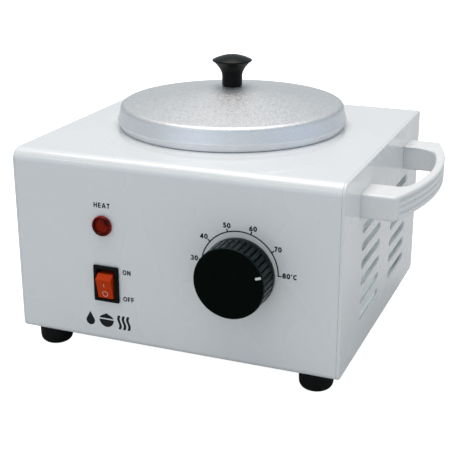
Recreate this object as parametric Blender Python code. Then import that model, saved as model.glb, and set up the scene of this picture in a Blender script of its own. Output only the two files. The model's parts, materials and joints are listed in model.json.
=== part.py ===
"""Single-pot electric wax warmer, built as separate parts.

Metres, +Z up. Parts are laid out in the case frame: X to the right, Y to the back, Z up
from the table, X = Y = 0 at the middle of the sheet-metal case. One empty then carries
everything so that the world origin is under the middle of the whole object.
"""
import math

import bmesh
import bpy
from mathutils import Matrix, Vector

# ---- general ---------------------------------------------------------------------------
GAP = 0.0003                    # air between neighbouring parts
ROUND_STEPS = 40                # facets around large turned parts
SMALL_STEPS = 20                # facets around knobs, feet and lamps
SCREW_STEPS = 10                # facets around screws, nuts and wires
OVERRUN = 0.004                 # how far a cutter runs past the face that it cuts

# ---- case ------------------------------------------------------------------------------
CASE_WIDTH = 0.190
CASE_DEPTH = 0.174
CASE_HEIGHT = 0.107
FOOT_HEIGHT = 0.0106
SIDE_X = CASE_WIDTH / 2
FRONT_Y = -CASE_DEPTH / 2
REAR_Y = CASE_DEPTH / 2
BOTTOM_Z = FOOT_HEIGHT
TOP_Z = FOOT_HEIGHT + CASE_HEIGHT
COVER_SHEET = 0.0010
SIDE_SHEET = 0.0015
FLOOR_SHEET = 0.0012
FLOOR_LOW_Z = BOTTOM_Z + COVER_SHEET + GAP    # the cover's lower edge lies under the floor
FLOOR_Z = FLOOR_LOW_Z + FLOOR_SHEET
FRONT_TOP_RADIUS = 0.0065
REAR_TOP_RADIUS = 0.003
LOWER_RADIUS = 0.0035
FLOOR_INSET = LOWER_RADIUS + GAP  # floor's end from the cover's outer face
SIDE_EDGE_RADIUS = 0.0009
COVER_HALF = SIDE_X - SIDE_SHEET - GAP
COVER_FOOT_FLANGE = 0.020       # inturned lower edge of the cover
SIDE_FLANGE = 0.0095            # inturned edge of each side wall, under the cover
SLOT_ROWS = 6
SLOT_PITCH = 0.0102
SLOT_TOP_Z = BOTTOM_Z + 0.0714
SLOT_HEIGHT = 0.0050
SLOT_SPANS = ((-0.0485, -0.0080), (0.0167, 0.0560))

# ---- feet ------------------------------------------------------------------------------
FOOT_X = 0.0798
FOOT_Y = 0.0760
FOOT_RADIUS = 0.0095
FOOT_ROUND = 0.0042
FOOT_RECESS_RADIUS = 0.0040
FOOT_RECESS_DEPTH = 0.0046

# ---- handle ----------------------------------------------------------------------------
HANDLE_MID_Y = 0.0030
HANDLE_HALF_OUTER = 0.0590
HANDLE_HALF_INNER = 0.0410
HANDLE_CORNER_X = 0.1128
HANDLE_REACH = 0.1245
HANDLE_INNER_CORNER_X = 0.1135
HANDLE_INNER_REACH = 0.1198
HANDLE_INNER_ROUND = 0.0060     # fillet where the arms meet the bow
HANDLE_ARM_TAPER = 0.0030       # the opening narrows by this much at each arm, wall to bow
HANDLE_LOW_Z = BOTTOM_Z + 0.0803
HANDLE_THICK = 0.0135
HANDLE_EDGE = 0.0012
HANDLE_SCREW_Y = 0.0500         # from the middle of the handle

# ---- pot, lid and well -----------------------------------------------------------------
POT_X = -0.0030
POT_Y = 0.0110
POT_RADIUS = 0.0609
POT_WALL = 0.0012
POT_FLOOR_Z = 0.0410
POT_CORNER = 0.0060
RING_RADIUS = 0.0667            # upturned edge around the mouth of the pot
RING_TOP_Z = TOP_Z + 0.0052
WELL_INNER = 0.0616
WELL_WALL = 0.0012
WELL_OUTER = WELL_INNER + WELL_WALL
WELL_FLOOR_Z = 0.0400           # upper face of the well's floor
WELL_FLANGE_RADIUS = 0.0680
COVER_HOLE_RADIUS = 0.0619
LID_WALL = 0.0008
LID_LIP_Z = TOP_Z + 0.0036
LID_LIP_RADIUS = 0.0682
LID_SHOULDER_RADIUS = 0.0656
LID_SHOULDER_Z = TOP_Z + 0.0107
LID_SHOULDER_ROUND = 0.0029
LID_SHOULDER_SWEEP = 79.0       # degrees turned by the bend at the shoulder
LID_TOP_Z = TOP_Z + 0.0229
LID_CROWN = 1.12                # 1 is a plain cone; more is domed
LID_SEAT_RADIUS = 0.0095
LID_KNOB_RIM_RADIUS = 0.0118
LID_KNOB_STEM_RADIUS = 0.0060
LID_KNOB_STEM_HEIGHT = 0.0056   # straight part of the stem
LID_KNOB_FLARE = 1.9            # how sharply the stem opens into the rim
LID_KNOB_RIM_Z = TOP_Z + 0.0381
LID_KNOB_TOP_Z = TOP_Z + 0.0415

# ---- heating parts ---------------------------------------------------------------------
BAND_INNER = WELL_OUTER + GAP
BAND_OUTER = BAND_INNER + 0.0025
BAND_Z = (0.052, 0.092)
BAND_SPLIT = 225.0              # direction of the band's joint, degrees from +X
BAND_LUG_REACH = 0.0090
JACKET_INNER = BAND_OUTER + 0.0006
JACKET_OUTER = JACKET_INNER + 0.0042
JACKET_Z = (0.046, 0.102)
STRAP_WIDTH = 0.024
STRAP_HALF = 0.040
STRAP_FOOT = 0.012
STRAP_SHEET = 0.0015
STRAP_TOP_Z = WELL_FLOOR_Z - WELL_WALL - GAP
CUTOUT_OFFSET = 0.022           # cut-out's distance from the well's axis, along the strap

# ---- front controls --------------------------------------------------------------------
KNOB_X = 0.0400
KNOB_Z = BOTTOM_Z + 0.0534
KNOB_RADIUS = 0.0195
KNOB_SKIRT_RADIUS = 0.0197
KNOB_SKIRT = (0.0006, 0.0036)   # skirt's reach in front of the panel
KNOB_FRONT = 0.0167
KNOB_RIBS = 36
KNOB_RIB_DEPTH = 0.0006
KNOB_POINTER_ANGLE = 18.5       # degrees from +X, seen from the front, at rest
POINTER_REACH = 0.01635         # from the knob's axis to the pointer's middle
POINTER_SIZE = (0.0031, 0.0013)
SPINDLE_RADIUS = 0.0030
THERMOSTAT_SCREW_X = 0.0125
LAMP_X = -0.0400
LAMP_Z = BOTTOM_Z + 0.0692
LAMP_RADIUS = 0.0060
SWITCH_X = -0.0389
SWITCH_Z = BOTTOM_Z + 0.0352
SWITCH_BEZEL = (0.0153, 0.0211)
SWITCH_BODY = (0.0134, 0.0194)
SWITCH_OPENING = (0.0109, 0.0175)
ROCKER_WIDTH = 0.0102
ROCKER_FACE_HALF = 0.0059
ROCKER_FACE_REACH = 0.0098      # from the pivot to the flat face
ROCKER_PIVOT_DEPTH = 0.0060     # pivot's distance behind the front panel
ROCKER_REST_TILT = 13.0         # degrees; the same the other way when switched on

# ---- rear inlet and terminal block -----------------------------------------------------
INLET_X = -0.0620
INLET_Z = BOTTOM_Z + 0.0280
INLET_FLANGE = (0.0480, 0.0220)
INLET_BODY = (0.0270, 0.0198)
INLET_SOCKET = (0.0240, 0.0160)
INLET_SCREW_X = 0.0200
INLET_PROUD = 0.0022
INLET_DEPTH = 0.0200
TERMINAL_X = -0.0780
TERMINAL_Y = -0.0450
TERMINAL_SIZE = (0.0180, 0.0240, 0.0130)
WIRE_END = 0.0008               # a slanted wire end stays this far off its terminal

# ---- whole object ----------------------------------------------------------------------
POINTER_PROUD = 0.0003
ORIGIN_X = (HANDLE_REACH - SIDE_X) / 2
ORIGIN_Y = (REAR_Y + GAP + INLET_PROUD + FRONT_Y - KNOB_FRONT - POINTER_PROUD) / 2

MATERIALS = {
    "white_powder_coat": ((0.78, 0.80, 0.82), 0.22, 0.0),
    "white_plastic": ((0.82, 0.83, 0.84), 0.30, 0.0),
    "satin_aluminium": ((0.72, 0.73, 0.75), 0.38, 1.0),
    "bright_aluminium": ((0.78, 0.78, 0.79), 0.25, 1.0),
    "galvanised_steel": ((0.55, 0.57, 0.58), 0.45, 1.0),
    "stainless_steel": ((0.62, 0.61, 0.60), 0.28, 1.0),
    "zinc_plated_steel": ((0.66, 0.66, 0.64), 0.35, 1.0),
    "brass": ((0.70, 0.52, 0.24), 0.32, 1.0),
    "copper": ((0.72, 0.40, 0.26), 0.30, 1.0),
    "black_plastic": ((0.012, 0.012, 0.013), 0.32, 0.0),
    "black_phenolic": ((0.010, 0.010, 0.011), 0.20, 0.0),
    "black_rubber": ((0.014, 0.014, 0.014), 0.75, 0.0),
    "orange_plastic": ((0.72, 0.10, 0.03), 0.30, 0.0),
    "red_lens": ((0.62, 0.05, 0.02), 0.12, 0.0),
    "white_ink": ((0.85, 0.85, 0.85), 0.50, 0.0),
    "glass_fibre": ((0.74, 0.70, 0.58), 0.90, 0.0),
    "ceramic": ((0.80, 0.77, 0.70), 0.55, 0.0),
    "grey_wire": ((0.30, 0.31, 0.33), 0.50, 0.0),
}


# ---- helpers ---------------------------------------------------------------------------
def clear_scene():
    for obj in list(bpy.data.objects):
        bpy.data.objects.remove(obj, do_unlink=True)


def material(name):
    found = bpy.data.materials.get(name)
    if found:
        return found
    colour, roughness, metallic = MATERIALS[name]
    made = bpy.data.materials.new(name)
    made.use_nodes = True
    shader = made.node_tree.nodes["Principled BSDF"]
    shader.inputs["Base Color"].default_value = (*colour, 1.0)
    shader.inputs["Roughness"].default_value = roughness
    shader.inputs["Metallic"].default_value = metallic
    return made


def finish_mesh(name, bm, smooth=False):
    """Close off a bmesh: outward faces, one mesh, smooth where it is round."""
    bmesh.ops.recalc_face_normals(bm, faces=bm.faces)
    mesh = bpy.data.meshes.new(name)
    bm.to_mesh(mesh)
    bm.free()
    if smooth:
        mesh.shade_smooth()
        mesh.set_sharp_from_angle(angle=math.radians(35))
    return mesh


def place(name, mesh, mat=None, location=(0, 0, 0), rotation=None, parent=None):
    """Link a mesh as a named object at a place in the case frame."""
    obj = bpy.data.objects.new(name, mesh)
    bpy.context.scene.collection.objects.link(obj)
    obj.location = location
    if rotation:
        obj.rotation_euler = rotation
    obj.parent = parent
    if mat and not mesh.materials:
        mesh.materials.append(material(mat))
    return obj


def solid(name, bm, mat, smooth=False, **where):
    return place(name, finish_mesh(name, bm, smooth), mat, **where)


def cutter(name, bm, target, operation="DIFFERENCE"):
    """Keep a hidden shape and apply it to the target as an exact Boolean."""
    tool = place(name, finish_mesh(name, bm))
    tool.hide_render = True
    tool.display_type = "WIRE"
    step = target.modifiers.new(name, "BOOLEAN")
    step.operation = operation
    step.solver = "EXACT"
    step.object = tool
    return tool


def arc(centre, radius, start, end, steps):
    """Points on an arc, angles in degrees."""
    points = []
    for i in range(steps + 1):
        angle = math.radians(start + (end - start) * i / steps)
        points.append((centre[0] + radius * math.cos(angle), centre[1] + radius * math.sin(angle)))
    return points


def rounded(corners, steps=3):
    """An open or closed outline from (a, b, radius) corners; the ends keep radius 0."""
    outline = []
    count = len(corners)
    for i, (a, b, radius) in enumerate(corners):
        if radius <= 0:
            outline.append((a, b))
            continue
        here = Vector((a, b))
        back = Vector(corners[i - 1][:2]) - here
        ahead = Vector(corners[(i + 1) % count][:2]) - here
        half = back.angle(ahead) / 2
        reach = radius / math.tan(half)
        middle = here + (back.normalized() + ahead.normalized()).normalized() * radius / math.sin(half)
        first = here + back.normalized() * reach - middle
        last = here + ahead.normalized() * reach - middle
        for k in range(steps + 1):
            turn = first.angle_signed(last) * k / steps
            spoke = first.copy()
            spoke.rotate(Matrix.Rotation(-turn, 2))
            outline.append(tuple(middle + spoke))
    return outline


def axis_point(axis, along, a, b):
    """A point from its place along an axis and its two other coordinates, in XYZ order."""
    if axis == "X":
        return (along, a, b)
    if axis == "Y":
        return (a, along, b)
    return (a, b, along)


def loft(bm, axis, sections):
    """Closed solid through (place along the axis, outline) sections of equal length."""
    rings = []
    for along, outline in sections:
        rings.append([bm.verts.new(axis_point(axis, along, a, b)) for a, b in outline])
    for low, high in zip(rings, rings[1:]):
        for i in range(len(low)):
            j = (i + 1) % len(low)
            bm.faces.new((low[i], low[j], high[j], high[i]))
    bm.faces.new(rings[0])
    bm.faces.new(rings[-1])
    return bm


def prism(bm, axis, outline, low, high):
    return loft(bm, axis, ((low, outline), (high, outline)))


def rectangle(a, b, width, height):
    return [(a - width / 2, b - height / 2), (a + width / 2, b - height / 2),
            (a + width / 2, b + height / 2), (a - width / 2, b + height / 2)]


def block(bm, low, high):
    outline = [(low[0], low[1]), (high[0], low[1]), (high[0], high[1]), (low[0], high[1])]
    return prism(bm, "Z", outline, low[2], high[2])


def disc(bm, axis, centre, radius, low, high, steps=SCREW_STEPS):
    return prism(bm, axis, arc(centre, radius, 0, 360 * (1 - 1 / steps), steps - 1), low, high)


def lathe(bm, profile, steps, radius_at=None):
    """Turn a closed (radius, z) profile about Z. Points at radius 0 meet on the axis."""
    columns = []
    poles = {i: bm.verts.new((0, 0, z)) for i, (r, z) in enumerate(profile) if r == 0}
    for step in range(steps):
        angle = 2 * math.pi * step / steps
        column = []
        for i, (r, z) in enumerate(profile):
            if i in poles:
                column.append(poles[i])
                continue
            reach = radius_at(r, z, step) if radius_at else r
            column.append(bm.verts.new((reach * math.cos(angle), reach * math.sin(angle), z)))
        columns.append(column)
    count = len(profile)
    for step in range(steps):
        here, following = columns[step], columns[(step + 1) % steps]
        for i in range(count):
            j = (i + 1) % count
            if i in poles and j in poles:
                continue
            corners = []
            for vert in (here[i], following[i], following[j], here[j]):
                if vert not in corners:
                    corners.append(vert)
            bm.faces.new(corners)
    return bm


def arc_wall(bm, inner, outer, low, high, start, end, steps):
    """A wall that follows part of a circle, angles in degrees."""
    outline = arc((0, 0), outer, start, end, steps) + arc((0, 0), inner, end, start, steps)
    return prism(bm, "Z", outline, low, high)


def tube(bm, path, radius, sides=8):
    """A round rod along a path, with flat ends."""
    points = [Vector(p) for p in path]
    rings = []
    side = None
    for i, point in enumerate(points):
        ahead = points[min(i + 1, len(points) - 1)] - points[max(i - 1, 0)]
        ahead.normalize()
        if side is None:
            side = ahead.orthogonal().normalized()
        side = (side - ahead * side.dot(ahead)).normalized()
        across = ahead.cross(side)
        ring = []
        for k in range(sides):
            angle = 2 * math.pi * k / sides
            ring.append(bm.verts.new(point + (side * math.cos(angle) + across * math.sin(angle)) * radius))
        rings.append(ring)
    for low, high in zip(rings, rings[1:]):
        for i in range(sides):
            j = (i + 1) % sides
            bm.faces.new((low[i], low[j], high[j], high[i]))
    bm.faces.new(rings[0])
    bm.faces.new(rings[-1])
    return bm


def smooth_path(points, steps=6):
    """A Catmull-Rom curve through the points."""
    knots = [Vector(p) for p in points]
    knots = [2 * knots[0] - knots[1]] + knots + [2 * knots[-1] - knots[-2]]
    path = []
    for a, b, c, d in zip(knots, knots[1:], knots[2:], knots[3:]):
        for k in range(steps):
            t = k / steps
            path.append(0.5 * (2 * b + (c - a) * t + (2 * a - 5 * b + 4 * c - d) * t ** 2
                               + (3 * b - a - 3 * c + d) * t ** 3))
    path.append(knots[-2])
    return path


def screw_mesh(name, head_radius, head_height, shank_radius, shank_length):
    """Pan-head screw: seat at z = 0, head above it, shank below."""
    profile = [(0, head_height), (head_radius * 0.65, head_height), (head_radius, head_height * 0.45),
               (head_radius, 0), (shank_radius, 0), (shank_radius, -shank_length),
               (0, -shank_length)]
    return finish_mesh(name, lathe(bmesh.new(), profile, SCREW_STEPS), smooth=True)


def hex_nut(name, across, bore, height):
    """Hexagonal nut, lower face at z = 0."""
    bm = bmesh.new()
    outer = [bm.verts.new((x, y, z)) for z in (0, height)
             for x, y in arc((0, 0), across / math.sqrt(3), 0, 300, 5)]
    inner = [bm.verts.new((x, y, z)) for z in (0, height)
             for x, y in arc((0, 0), bore, 0, 300, 5)]
    for i in range(6):
        j = (i + 1) % 6
        bm.faces.new((outer[i], outer[j], outer[6 + j], outer[6 + i]))
        bm.faces.new((inner[i], inner[6 + i], inner[6 + j], inner[j]))
        bm.faces.new((outer[i], inner[i], inner[j], outer[j]))
        bm.faces.new((outer[6 + i], outer[6 + j], inner[6 + j], inner[6 + i]))
    return finish_mesh(name, bm)


# Rotations that turn a part made along +Z.
TO_FRONT = (math.radians(90), 0, 0)      # +Z of the part points to -Y
TO_REAR = (math.radians(-90), 0, 0)      # +Z of the part points to +Y
TO_LEFT = (0, math.radians(-90), 0)      # +Z of the part points to -X
UPSIDE_DOWN = (math.radians(180), 0, 0)


# ---- case ------------------------------------------------------------------------------
def case_outline(inset):
    """Side view of the case, as (y, z)."""
    return rounded([
        (FRONT_Y + inset, BOTTOM_Z + inset, LOWER_RADIUS - inset),
        (REAR_Y - inset, BOTTOM_Z + inset, LOWER_RADIUS - inset),
        (REAR_Y - inset, TOP_Z - inset, REAR_TOP_RADIUS - inset),
        (FRONT_Y + inset, TOP_Z - inset, FRONT_TOP_RADIUS - inset),
    ])


def cover_skin(depth):
    """Open outline of the bent cover sheet at a depth below its outer face."""
    low = BOTTOM_Z + depth
    tip = COVER_FOOT_FLANGE
    return rounded([
        (FRONT_Y + tip, low, 0),
        (FRONT_Y + depth, low, LOWER_RADIUS - depth),
        (FRONT_Y + depth, TOP_Z - depth, FRONT_TOP_RADIUS - depth),
        (REAR_Y - depth, TOP_Z - depth, REAR_TOP_RADIUS - depth),
        (REAR_Y - depth, low, LOWER_RADIUS - depth),
        (REAR_Y - tip, low, 0),
    ])


def side_flange_skin(depth, foot_z):
    """Open outline of the side walls' inturned edge at a depth below the case's face."""
    return rounded([
        (FRONT_Y + depth, foot_z, 0),
        (FRONT_Y + depth, TOP_Z - depth, FRONT_TOP_RADIUS - depth),
        (REAR_Y - depth, TOP_Z - depth, REAR_TOP_RADIUS - depth),
        (REAR_Y - depth, foot_z, 0),
    ])


def foot_places():
    for front in (True, False):
        for left in (True, False):
            name = ("front" if front else "rear") + "_" + ("left" if left else "right")
            yield name, (-FOOT_X if left else FOOT_X), (-FOOT_Y if front else FOOT_Y)


def build_cover():
    """Front, top and back in one bent sheet, with the pot hole and the control cut-outs."""
    bm = bmesh.new()
    outline = cover_skin(0) + cover_skin(COVER_SHEET)[::-1]
    prism(bm, "X", outline, -COVER_HALF, COVER_HALF)
    cover = solid("case_cover", bm, "white_powder_coat", smooth=True)
    holes = bmesh.new()
    disc(holes, "Z", (POT_X, POT_Y), COVER_HOLE_RADIUS, TOP_Z - OVERRUN, TOP_Z + OVERRUN, ROUND_STEPS)
    front = (FRONT_Y - OVERRUN, FRONT_Y + OVERRUN)
    switch_hole = rectangle(SWITCH_X, SWITCH_Z, SWITCH_BODY[0] + 2 * GAP, SWITCH_BODY[1] + 2 * GAP)
    prism(holes, "Y", switch_hole, *front)
    disc(holes, "Y", (LAMP_X, LAMP_Z), 0.0050, *front, SMALL_STEPS)
    disc(holes, "Y", (KNOB_X, KNOB_Z), 0.0053, *front, SMALL_STEPS)
    for side in (-1, 1):
        disc(holes, "Y", (KNOB_X + side * THERMOSTAT_SCREW_X, KNOB_Z), 0.0022, *front)
        x = INLET_X + side * INLET_SCREW_X
        disc(holes, "Y", (x, INLET_Z), 0.0018, REAR_Y - OVERRUN, REAR_Y + OVERRUN)
    inlet_hole = rectangle(INLET_X, INLET_Z, INLET_BODY[0] + 2 * GAP, INLET_BODY[1] + 2 * GAP)
    prism(holes, "Y", inlet_hole, REAR_Y - OVERRUN, REAR_Y + OVERRUN)
    for _, x, y in foot_places():
        disc(holes, "Z", (x, y), 0.0022, BOTTOM_Z - OVERRUN, BOTTOM_Z + OVERRUN)
    cutter("cut_cover_holes", holes, cover)


def build_chassis():
    """Floor and both side walls, with inturned edges under the cover and cooling slots."""
    edge = SIDE_EDGE_RADIUS
    sections = []
    for turn in (0, 45, 90):
        inset = edge * (1 - math.sin(math.radians(turn)))
        sections.append((SIDE_X - edge + edge * math.cos(math.radians(turn)), case_outline(inset)))
    bm = bmesh.new()
    loft(bm, "X", [(-x, outline) for x, outline in sections] + sections[::-1])
    chassis = solid("case_chassis", bm, "white_powder_coat", smooth=True)

    inner = SIDE_X - SIDE_SHEET
    room = bmesh.new()
    block(room, (-inner, FRONT_Y - OVERRUN, FLOOR_Z), (inner, REAR_Y + OVERRUN, TOP_Z + OVERRUN))
    cutter("cut_case_room", room, chassis)
    under = bmesh.new()
    block(under, (-inner, FRONT_Y - OVERRUN, BOTTOM_Z - OVERRUN), (inner, REAR_Y + OVERRUN, FLOOR_LOW_Z))
    cutter("cut_room_for_cover_edge", under, chassis)
    ends = bmesh.new()
    for near, far in ((FRONT_Y - OVERRUN, FRONT_Y + FLOOR_INSET), (REAR_Y - FLOOR_INSET, REAR_Y + OVERRUN)):
        block(ends, (-inner, near, FLOOR_LOW_Z - OVERRUN), (inner, far, FLOOR_Z + OVERRUN))
    cutter("cut_floor_ends", ends, chassis)

    depth = COVER_SHEET + GAP
    foot_z = FLOOR_Z + 0.0030
    band = side_flange_skin(depth, foot_z) + side_flange_skin(depth + COVER_SHEET, foot_z)[::-1]
    flanges = bmesh.new()
    for side in (-1, 1):
        near, far = sorted((side * (inner - SIDE_FLANGE), side * (inner + SIDE_SHEET / 3)))
        prism(flanges, "X", band, near, far)
    cutter("add_side_flanges", flanges, chassis, "UNION")

    holes = bmesh.new()
    for x_low, x_high in ((-SIDE_X - OVERRUN, -inner + OVERRUN), (inner - OVERRUN, SIDE_X + OVERRUN)):
        for row in range(SLOT_ROWS):
            z = SLOT_TOP_Z - row * SLOT_PITCH
            for y_low, y_high in SLOT_SPANS:
                end = SLOT_HEIGHT / 2
                pill = arc((y_low + end, z), end, 90, 270, 4) + arc((y_high - end, z), end, -90, 90, 4)
                prism(holes, "X", pill, x_low, x_high)
    for side in (-1, 1):
        y = HANDLE_MID_Y + side * HANDLE_SCREW_Y
        disc(holes, "X", (y, HANDLE_LOW_Z + HANDLE_THICK / 2), 0.0025, inner - OVERRUN, SIDE_X + OVERRUN)
        x = POT_X + side * (STRAP_HALF + STRAP_FOOT / 2 + STRAP_SHEET)
        disc(holes, "Z", (x, POT_Y), 0.0022, BOTTOM_Z - OVERRUN, FLOOR_Z + OVERRUN)
    for _, x, y in foot_places():
        disc(holes, "Z", (x, y), 0.0022, BOTTOM_Z - OVERRUN, FLOOR_Z + OVERRUN)
    disc(holes, "Z", (TERMINAL_X, TERMINAL_Y), 0.0018, BOTTOM_Z - OVERRUN, FLOOR_Z + OVERRUN)
    cutter("cut_chassis_holes", holes, chassis)


def build_feet():
    """Four rubber feet, each held by a screw in a recess; the screws also hold the cover."""
    top = FOOT_HEIGHT - GAP
    bottom_arc = arc((FOOT_RADIUS - FOOT_ROUND, FOOT_ROUND), FOOT_ROUND, -90, 0, 3)
    profile = [(0.0023, top), (0.0023, FOOT_RECESS_DEPTH), (FOOT_RECESS_RADIUS, FOOT_RECESS_DEPTH),
               (FOOT_RECESS_RADIUS, 0)] + bottom_arc + [(FOOT_RADIUS, top)]
    foot = finish_mesh("foot", lathe(bmesh.new(), profile, SMALL_STEPS), smooth=True)
    screw = screw_mesh("foot_screw", 0.0034, 0.0020, 0.0019, 0.0105)
    for name, x, y in foot_places():
        place("foot_" + name, foot, "black_rubber", location=(x, y, 0))
        place("foot_screw_" + name, screw, "zinc_plated_steel",
              location=(x, y, FOOT_RECESS_DEPTH - GAP), rotation=UPSIDE_DOWN)


# ---- handle ----------------------------------------------------------------------------
def bow(corner_x, reach, half, steps):
    """Shallow arc from one end of the grip to the other, as (x, y)."""
    rise = reach - corner_x
    radius = (half ** 2 + rise ** 2) / (2 * rise)
    swing = math.degrees(math.asin(half / radius))
    return arc((reach - radius, HANDLE_MID_Y), radius, -swing, swing, steps)


def build_handle():
    """D-shaped plastic handle on the right wall, held by two screws from inside."""
    wall = SIDE_X + GAP
    outline = [(wall, HANDLE_MID_Y - HANDLE_HALF_OUTER)]
    outline += bow(HANDLE_CORNER_X, HANDLE_REACH, HANDLE_HALF_OUTER, 10)
    outline += [(wall, HANDLE_MID_Y + HANDLE_HALF_OUTER), (wall, HANDLE_MID_Y + HANDLE_HALF_INNER)]
    inner = bow(HANDLE_INNER_CORNER_X, HANDLE_INNER_REACH, HANDLE_HALF_INNER - HANDLE_ARM_TAPER, 10)[::-1]
    outline += inner + [(wall, HANDLE_MID_Y - HANDLE_HALF_INNER)]
    filleted = (inner[0], inner[-1])
    outline = rounded([(x, y, HANDLE_INNER_ROUND if (x, y) in filleted else 0) for x, y in outline])
    bm = bmesh.new()
    prism(bm, "Z", outline, HANDLE_LOW_Z, HANDLE_LOW_Z + HANDLE_THICK)
    handle = solid("carry_handle", bm, "white_plastic")
    bevel = handle.modifiers.new("edge_round", "BEVEL")
    bevel.width = HANDLE_EDGE
    bevel.segments = 2
    bevel.limit_method = "ANGLE"
    bevel.angle_limit = math.radians(40)
    holes = bmesh.new()
    screw = screw_mesh("handle_screw", 0.0036, 0.0022, 0.0020, 0.0120)
    z = HANDLE_LOW_Z + HANDLE_THICK / 2
    for name, side in (("front", -1), ("rear", 1)):
        y = HANDLE_MID_Y + side * HANDLE_SCREW_Y
        disc(holes, "X", (y, z), 0.0023, wall - OVERRUN, SIDE_X + 0.0120)
        place("handle_screw_" + name, screw, "zinc_plated_steel",
              location=(SIDE_X - SIDE_SHEET - GAP, y, z), rotation=TO_LEFT)
    cutter("cut_handle_screws", holes, handle)


# ---- pot, lid and well -----------------------------------------------------------------
def build_pot():
    """Removable bucket: a flange rests on the cover and turns up into a ring for the lid."""
    rest = TOP_Z + GAP
    outer_corner = arc((POT_RADIUS - POT_CORNER, POT_FLOOR_Z + POT_CORNER), POT_CORNER, 0, -90, 3)
    inner_corner = arc((POT_RADIUS - POT_CORNER, POT_FLOOR_Z + POT_CORNER), POT_CORNER - POT_WALL, -90, 0, 3)
    profile = [(0, POT_FLOOR_Z + POT_WALL)] + inner_corner
    profile += [(POT_RADIUS - POT_WALL, rest + POT_WALL), (RING_RADIUS - POT_WALL, rest + POT_WALL),
                (RING_RADIUS - POT_WALL, RING_TOP_Z), (RING_RADIUS, RING_TOP_Z), (RING_RADIUS, rest),
                (POT_RADIUS, rest)]
    profile += outer_corner + [(0, POT_FLOOR_Z)]
    solid("wax_pot", lathe(bmesh.new(), profile, ROUND_STEPS), "bright_aluminium", smooth=True,
          location=(POT_X, POT_Y, 0))


def lid_skin(depth):
    """Half section of the lid's sheet at a depth below its outer face, rim to centre."""
    lip = LID_LIP_RADIUS - depth
    shoulder = LID_SHOULDER_RADIUS - depth
    bend = LID_SHOULDER_ROUND - depth / 2
    points = [(lip, LID_LIP_Z), (lip, LID_LIP_Z + 0.0008), (lip - 0.0003, LID_LIP_Z + 0.0013)]
    points += arc((shoulder - bend, LID_SHOULDER_Z - depth), bend, 0, LID_SHOULDER_SWEEP, 4)
    start_r, start_z = points[-1]
    crown_z = LID_TOP_Z - depth
    for k in range(1, 5):
        t = k / 4
        r = start_r + (LID_SEAT_RADIUS - start_r) * t
        points.append((r, start_z + (crown_z - start_z) * (1 - (1 - t) ** LID_CROWN)))
    return points


def build_lid():
    """Turned lid with its knob, screw and washer. The conical skirt sits on the pot's ring."""
    profile = [(0.0023, LID_TOP_Z - LID_WALL)] + lid_skin(LID_WALL)[::-1]
    profile += lid_skin(0) + [(0.0023, LID_TOP_Z)]
    where = {"location": (POT_X, POT_Y, 0)}
    solid("pot_lid", lathe(bmesh.new(), profile, ROUND_STEPS), "satin_aluminium", smooth=True, **where)

    base = LID_TOP_Z + GAP
    rim = LID_KNOB_RIM_RADIUS
    stem = LID_KNOB_STEM_RADIUS
    neck_z = base + LID_KNOB_STEM_HEIGHT
    profile = [(0.0023, base), (stem - 0.0003, base), (stem, base + 0.0003)]
    for k in range(7):
        t = k / 6
        profile.append((stem + (rim - stem) * t ** LID_KNOB_FLARE, neck_z + (LID_KNOB_RIM_Z - neck_z) * t))
    for k in range(1, 5):
        reach = 1 - k / 4
        profile.append((rim * reach, LID_KNOB_TOP_Z - (LID_KNOB_TOP_Z - LID_KNOB_RIM_Z) * reach ** 2))
    bore_top = base + 0.0115
    profile += [(0, bore_top), (0.0023, bore_top)]
    solid("lid_knob", lathe(bmesh.new(), profile, SMALL_STEPS), "black_phenolic", smooth=True, **where)

    under = LID_TOP_Z - LID_WALL - GAP
    washer = [(0.0023, under), (0.0065, under), (0.0065, under - 0.0010), (0.0023, under - 0.0010)]
    solid("lid_knob_washer", lathe(bmesh.new(), washer, SMALL_STEPS), "zinc_plated_steel",
          smooth=True, **where)
    place("lid_knob_screw", screw_mesh("lid_knob_screw", 0.0040, 0.0024, 0.0020, 0.0120),
          "zinc_plated_steel", location=(POT_X, POT_Y, under - 0.0010 - GAP), rotation=UPSIDE_DOWN)


def build_well():
    """Heated cup under the cover that the pot stands in, with its stud and nut."""
    low = WELL_FLOOR_Z - WELL_WALL
    flange_top = TOP_Z - COVER_SHEET - GAP
    profile = [(0, WELL_FLOOR_Z), (WELL_INNER, WELL_FLOOR_Z), (WELL_INNER, flange_top),
               (WELL_FLANGE_RADIUS, flange_top), (WELL_FLANGE_RADIUS, flange_top - WELL_WALL),
               (WELL_OUTER, flange_top - WELL_WALL), (WELL_OUTER, low), (0, low)]
    where = {"location": (POT_X, POT_Y, 0)}
    solid("heater_well", lathe(bmesh.new(), profile, ROUND_STEPS), "bright_aluminium", smooth=True, **where)
    stud = disc(bmesh.new(), "Z", (0, 0), 0.0025, STRAP_TOP_Z - 0.0120, STRAP_TOP_Z)
    solid("well_stud", stud, "zinc_plated_steel", smooth=True, **where)
    nut_z = STRAP_TOP_Z - STRAP_SHEET - GAP - 0.0040
    place("well_nut", hex_nut("well_nut", 0.008, 0.0029, 0.0040), "zinc_plated_steel",
          location=(POT_X, POT_Y, nut_z))


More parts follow.
